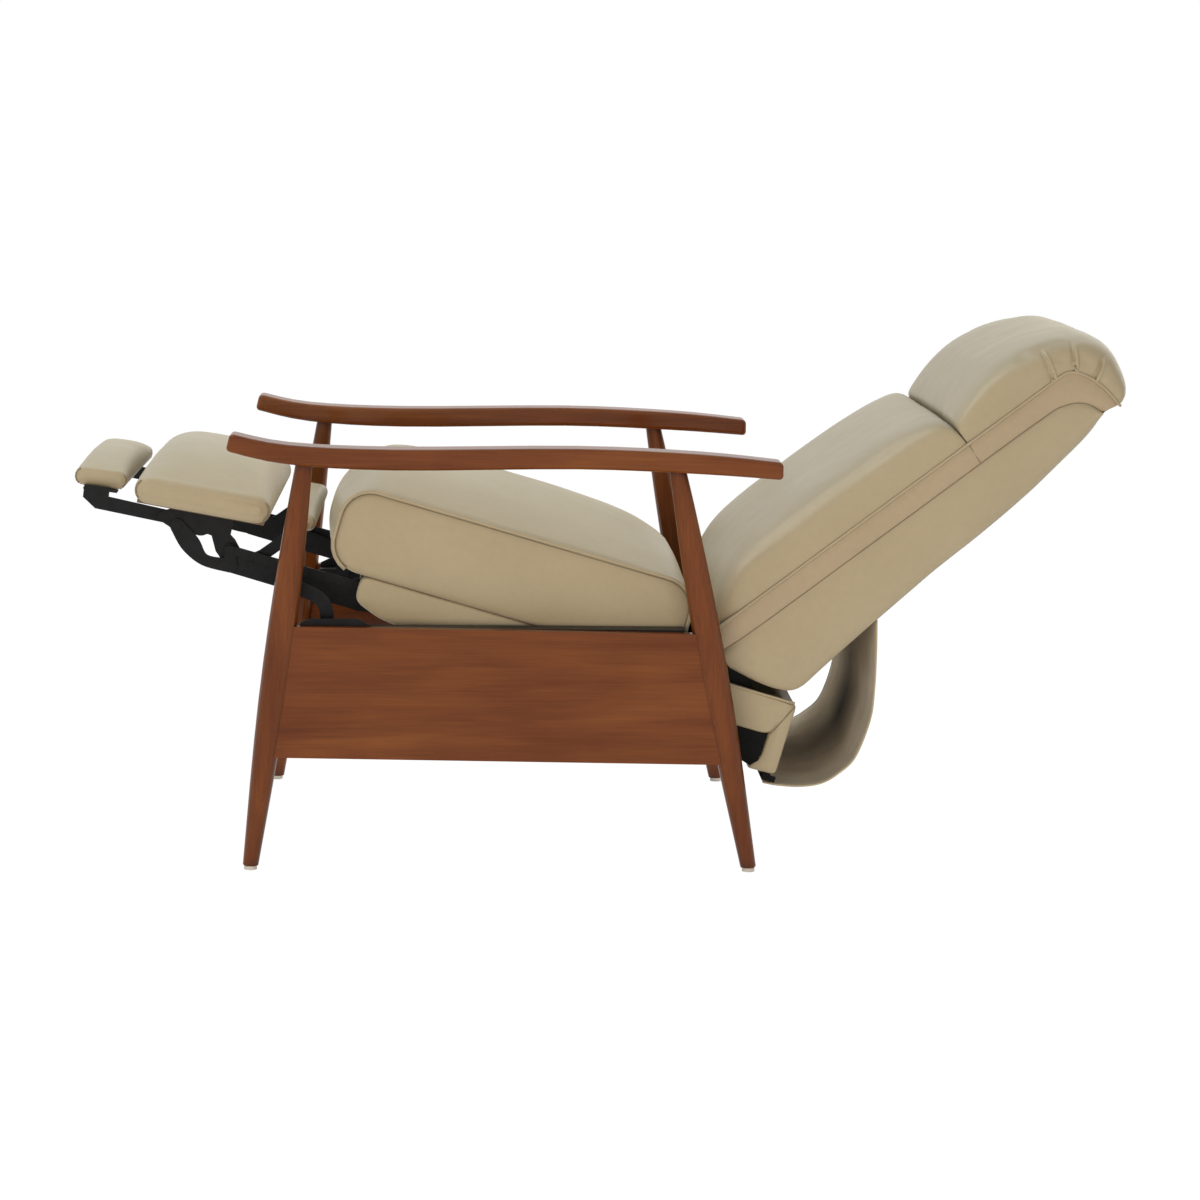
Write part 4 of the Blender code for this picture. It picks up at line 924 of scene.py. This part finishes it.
# Foot and top of each sewn pleat
PLEATS = [((0.605, -0.004), (0.618, 0.042)), ((0.637, -0.012), (0.662, 0.026)),
          ((0.659, -0.034), (0.688, -0.018))]
PLEAT_DEPTH = 0.014
PLEAT_WIDTH = 0.0020
PLEAT_SIDE = 0.15


def drawn_in(reach, length):
    """Falling share of a pull that fades over a length from a seam."""
    return np.exp(-(reach / length) ** 2)


def back_cushion():
    along = np.linspace(CUSHION_LOW, CUSHION_HIGH, CUSHION_ROWS)
    base = np.stack([along, np.full(CUSHION_ROWS, WELT)], axis=1)
    crest = curve(CUSHION_CREST, CUSHION_ROWS)
    halves = BACK_HALF - 0.002 * drawn_in(CUSHION_HIGH - along, 0.008)
    halves -= 0.010 * drawn_in(along - CUSHION_LOW, 0.03)
    powers = np.linspace(5.5, 7.5, CUSHION_ROWS)
    piece = dome_cover("back_cushion_cover", base, crest, halves, powers, "back_cushion")
    held = near_lines(piece, seam_of(base, BACK_HALF), BACK_SEAM_HOLD)
    flat = [v.index for v in piece.data.vertices if back_height(v.co) < 0.002]
    meeting = [v.index for v in piece.data.vertices if not 0.015 < back_reach(v.co) < 0.440]
    inflate(piece, set(held + flat + meeting), BACK_CAP)
    ripple(piece, 0.0016, 0.13, held)


def end_arc(turn):
    """Rounded end of the back in side view, from its front face to its lip."""
    return np.stack([END_PLACE[0] + END_REACH[0] * np.sin(turn), END_PLACE[1] + END_REACH[1] * np.cos(turn)],
                    axis=1)


def gather(piece):
    """Sewn pleats that run up from the side seam and fade out: a sharp valley with a fold behind it."""
    for foot, top in PLEATS:
        low = Vector(spot(back_point, *foot, 0))
        high = Vector(spot(back_point, *top, 0))
        reach = (high - low).length
        lean = (high - low) / reach
        side = Vector((lean.z, 0, -lean.x))
        for vertex in piece.data.vertices:
            offset = Vector((vertex.co.x, 0, vertex.co.z)) - low
            along = offset.dot(lean) / reach
            aside = offset.dot(side) / PLEAT_WIDTH
            if -0.2 < along < 1 and abs(aside) < 6 and abs(vertex.co.y) > PLEAT_SIDE:
                fade = math.sqrt(1 - max(along, 0))
                valley = math.exp(-abs(aside) * 1.6)
                fold = 0.35 * math.exp(-((aside - 2.4) / 1.3) ** 2)
                vertex.co -= vertex.normal * PLEAT_DEPTH * (valley - fold) * fade


def head_pillow():
    along = np.append(np.linspace(PILLOW_LOW, 0.586, 46)[:-1], np.linspace(0.586, END_PLACE[0], 28))[:-1]
    turn = np.radians(np.append(np.linspace(0, 70, 60)[:-1], np.linspace(70, 90, 12)))
    base = np.vstack([np.stack([along, np.full(len(along), WELT)], axis=1), end_arc(turn)])
    front = FRONT_SHARE * (along - PILLOW_LOW) / (END_PLACE[0] - PILLOW_LOW)
    share = np.append(front, FRONT_SHARE + (1 - FRONT_SHARE) * turn / (math.pi / 2))
    fine = curve(PILLOW_CREST, 400)
    crest = np.stack([np.interp(share, fine[:, 0], fine[:, k]) for k in (1, 2)], axis=1)
    halves = BACK_HALF - 0.002 * drawn_in(base[:, 0] - PILLOW_LOW, 0.008)
    powers = 4.0 + 4.5 * np.clip(1.9 - 2 * share, 0, 1)
    piece = dome_cover("head_pillow_cover", base, crest, halves, powers, "head_pillow")
    held = near_lines(piece, seam_of(base, BACK_HALF), BACK_SEAM_HOLD)
    meeting = [v.index for v in piece.data.vertices if back_reach(v.co) < 0.460]
    inflate(piece, set(held + meeting), BACK_CAP)
    ripple(piece, 0.0016, 0.10, held)
    gather(piece)


back_cushion()
head_pillow()

# Side welt, strip seam and rear edge of the back in side view
SHELL_COUNT = 90
SHELL_STRIP = [(-0.027, -0.036), (0.050, -0.039), (0.300, -0.039), (0.550, -0.039), (0.600, -0.044),
               (0.626, -0.060), (0.638, -0.084)]
SHELL_REAR = [(-0.031, -0.065), (-0.008, -0.111), (0.014, -0.140), (0.036, -0.151), (0.078, -0.1475),
              (0.194, -0.1366), (0.289, -0.1290), (0.378, -0.1260), (0.471, -0.1185), (0.537, -0.1100),
              (0.602, -0.1000), (0.637, -0.0885)]
SHELL_INSET = 0.0015
REAR_INSET = 0.008
CROSS_SEAM = [(0.4505, -0.005), (0.4495, -0.021), (0.4485, -0.038)]
WELT_TIP = (0.6655, -0.0930)
welt = evenly(np.vstack([[(CUSHION_LOW, WELT)], end_arc(np.linspace(0, math.pi / 2, 40))]), SHELL_COUNT)
strip = curve(SHELL_STRIP, SHELL_COUNT)
rear = curve(SHELL_REAR, SHELL_COUNT)


def back_shell():
    drawn = rear + (strip - rear) * 0.045
    points = []
    faces = []
    for side in (-1, 1):
        start = len(points)
        rows = []
        for t in np.linspace(0, 1, 9):
            out = BACK_HALF - SHELL_INSET + 0.0075 * math.sin(math.pi * t) ** 0.6 - SHELL_INSET * t
            rows.append((strip + (drawn - strip) * t, out))
        rows.append((rear, BACK_HALF - REAR_INSET))
        points += [spot(back_point, a, u, side * y) for flat, y in rows for a, u in flat]
        faces += quads(len(rows), SHELL_COUNT, False, start)
    start = len(points)
    stations = np.linspace(-(BACK_HALF - REAR_INSET), BACK_HALF - REAR_INSET, 15)
    for y in stations:
        bulge = 0.005 * (1 - abs(y / BACK_HALF) ** 2.5)
        for k, (a, u) in enumerate(rear):
            full = math.sin(math.pi * k / (SHELL_COUNT - 1)) ** 0.5
            points.append(spot(back_point, a, u - bulge * full, y))
    faces += quads(len(stations), SHELL_COUNT, False, start)
    widen = BACK_HALF / (BACK_HALF - REAR_INSET)
    for end in (0, SHELL_COUNT - 1):
        start = len(points)
        line = [rear[end], strip[end], welt[end]]
        points += [spot(back_point, a, u, y * widen) for y in stations for a, u in line]
        faces += quads(len(stations), len(line), False, start)
    piece = make("back_shell_cover", points, faces, LEATHER, "back", ["back_shell"])
    ripple(piece, 0.0010, 0.12)


def back_strip():
    points = []
    faces = []
    steps = 6
    for side in (-1, 1):
        start = len(points)
        for t in np.linspace(0, 1, steps):
            y = side * (BACK_HALF - SHELL_INSET + 0.0035 * math.sin(math.pi * t) ** 0.7)
            points += [spot(back_point, a, u, y) for a, u in welt + (strip - welt) * t]
        faces += quads(steps, SHELL_COUNT, False, start)
    piece = make("back_boxing_strip", points, faces, STRIP, "back")


back_shell()
back_strip()
cord("back_welts", seam_of(np.vstack([welt, [WELT_TIP]]), BACK_HALF + 0.0010), 0.0021, LEATHER, "back")
cord("back_strip_seams", seam_of(strip, BACK_HALF - 0.0010), 0.0008, SEAM_AND_SHADE, "back")
# Dark line along the upper side of the welt: stitching and the painted shadow that the welt casts
cord("back_welt_seam_shadows", seam_of(welt, BACK_HALF + 0.0006, 0.0022), STITCH_SHADOW, SEAM_AND_SHADE, "back")
cord("back_cross_seams", seam_of(curve(CROSS_SEAM, 9), BACK_HALF + 0.0012), 0.0007, SEAM_AND_SHADE, "back")

# Pads of the footrest
FOOTREST_PAD = PadShape(length=0.2045, edge=0.042, crown=0.042, bulge=0.004, radius=0.020, full_rear=4,
                        full_front=4, half=0.280, rim=0.012, puff=0.003, pitch=0.009)
FLAP_PAD = PadShape(length=0.078, edge=0.028, crown=0.0175, bulge=0.002, radius=0.013, full_rear=4,
                    full_front=4, half=0.199, rim=0.005, puff=0.002, pitch=0.006)
FILLER_PAD = PadShape(length=0.042, edge=0.026, crown=0.005, bulge=0.002, radius=0.012, full_rear=4,
                      full_front=4, half=0.208, rim=0.010, puff=0.002, pitch=0.005)
pad_cover("footrest_pad", FOOTREST, FOOTREST_PAD, "footrest")
pad_cover("flap_pad", FLAP, FLAP_PAD, "flap")
pad_cover("filler_pad", FILLER, FILLER_PAD, "lift_links")


# Sling from the back to the rear of the seat
SLING_PATH = [(0.3945, 0.1205), (0.4153, 0.1165), (0.4508, 0.1140), (0.4835, 0.1185), (0.5095, 0.1335),
              (0.5345, 0.1590), (0.554, 0.2145), (0.5585, 0.2610), (0.5600, 0.3227), (0.5602, 0.3682)]
SLING_HALF = 0.262
SLING_SKIN = 0.0009
SLING_WAVE = 0.0016
SLING_BINDING = 0.0017


def sling():
    path = curve(SLING_PATH, 60)
    path[:, 0] += SHIFT
    ahead = np.gradient(path, axis=0)
    ahead /= np.linalg.norm(ahead, axis=1)[:, None]
    inside = np.stack([-ahead[:, 1], ahead[:, 0]], axis=1)
    stations = np.linspace(-SLING_HALF, SLING_HALF, 45)
    run = np.linspace(0, 1, len(path))
    middle = np.sin(math.pi * run)
    sheets = []
    for out in (SLING_SKIN, -SLING_SKIN):
        rows = []
        for y in stations:
            wave = SLING_WAVE * middle * (np.sin(y * 19 + run * 2.5) + 0.5 * np.sin(y * 8 - run * 7))
            flat = path + inside * (out + wave)[:, None]
            rows.append([(x, y, z) for x, z in flat])
        sheets.append(rows)
    points = [p for rows in sheets for row in rows for p in row]
    columns = len(path)
    count = len(stations) * columns
    first = quads(len(stations), columns)
    second = [tuple(count + v for v in reversed(face)) for face in first]
    rim = list(range(columns))
    rim += [i * columns + columns - 1 for i in range(1, len(stations))]
    rim += [(len(stations) - 1) * columns + k for k in reversed(range(columns - 1))]
    rim += [i * columns for i in reversed(range(1, len(stations) - 1))]
    edges = []
    for a, b in zip(rim, rim[1:] + rim[:1]):
        edges.append((b, a, count + a, count + b))
    faces = first + second + edges
    piece = make("sling_sheet", points, faces, FLESH, None, ["sling"], 0)
    piece.data.materials.append(LEATHER)
    for polygon in piece.data.polygons:
        if min(polygon.vertices) >= count:
            polygon.material_index = 1
    bindings = []
    for row in (0, len(stations) - 1):
        bindings.append(np.array([sheets[0][row], sheets[1][row]]).mean(axis=0))
    binding = cord("sling_binding", bindings, SLING_BINDING, LEATHER, None)
    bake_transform(piece)
    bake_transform(binding)


sling()
make_camera()
make_studio()
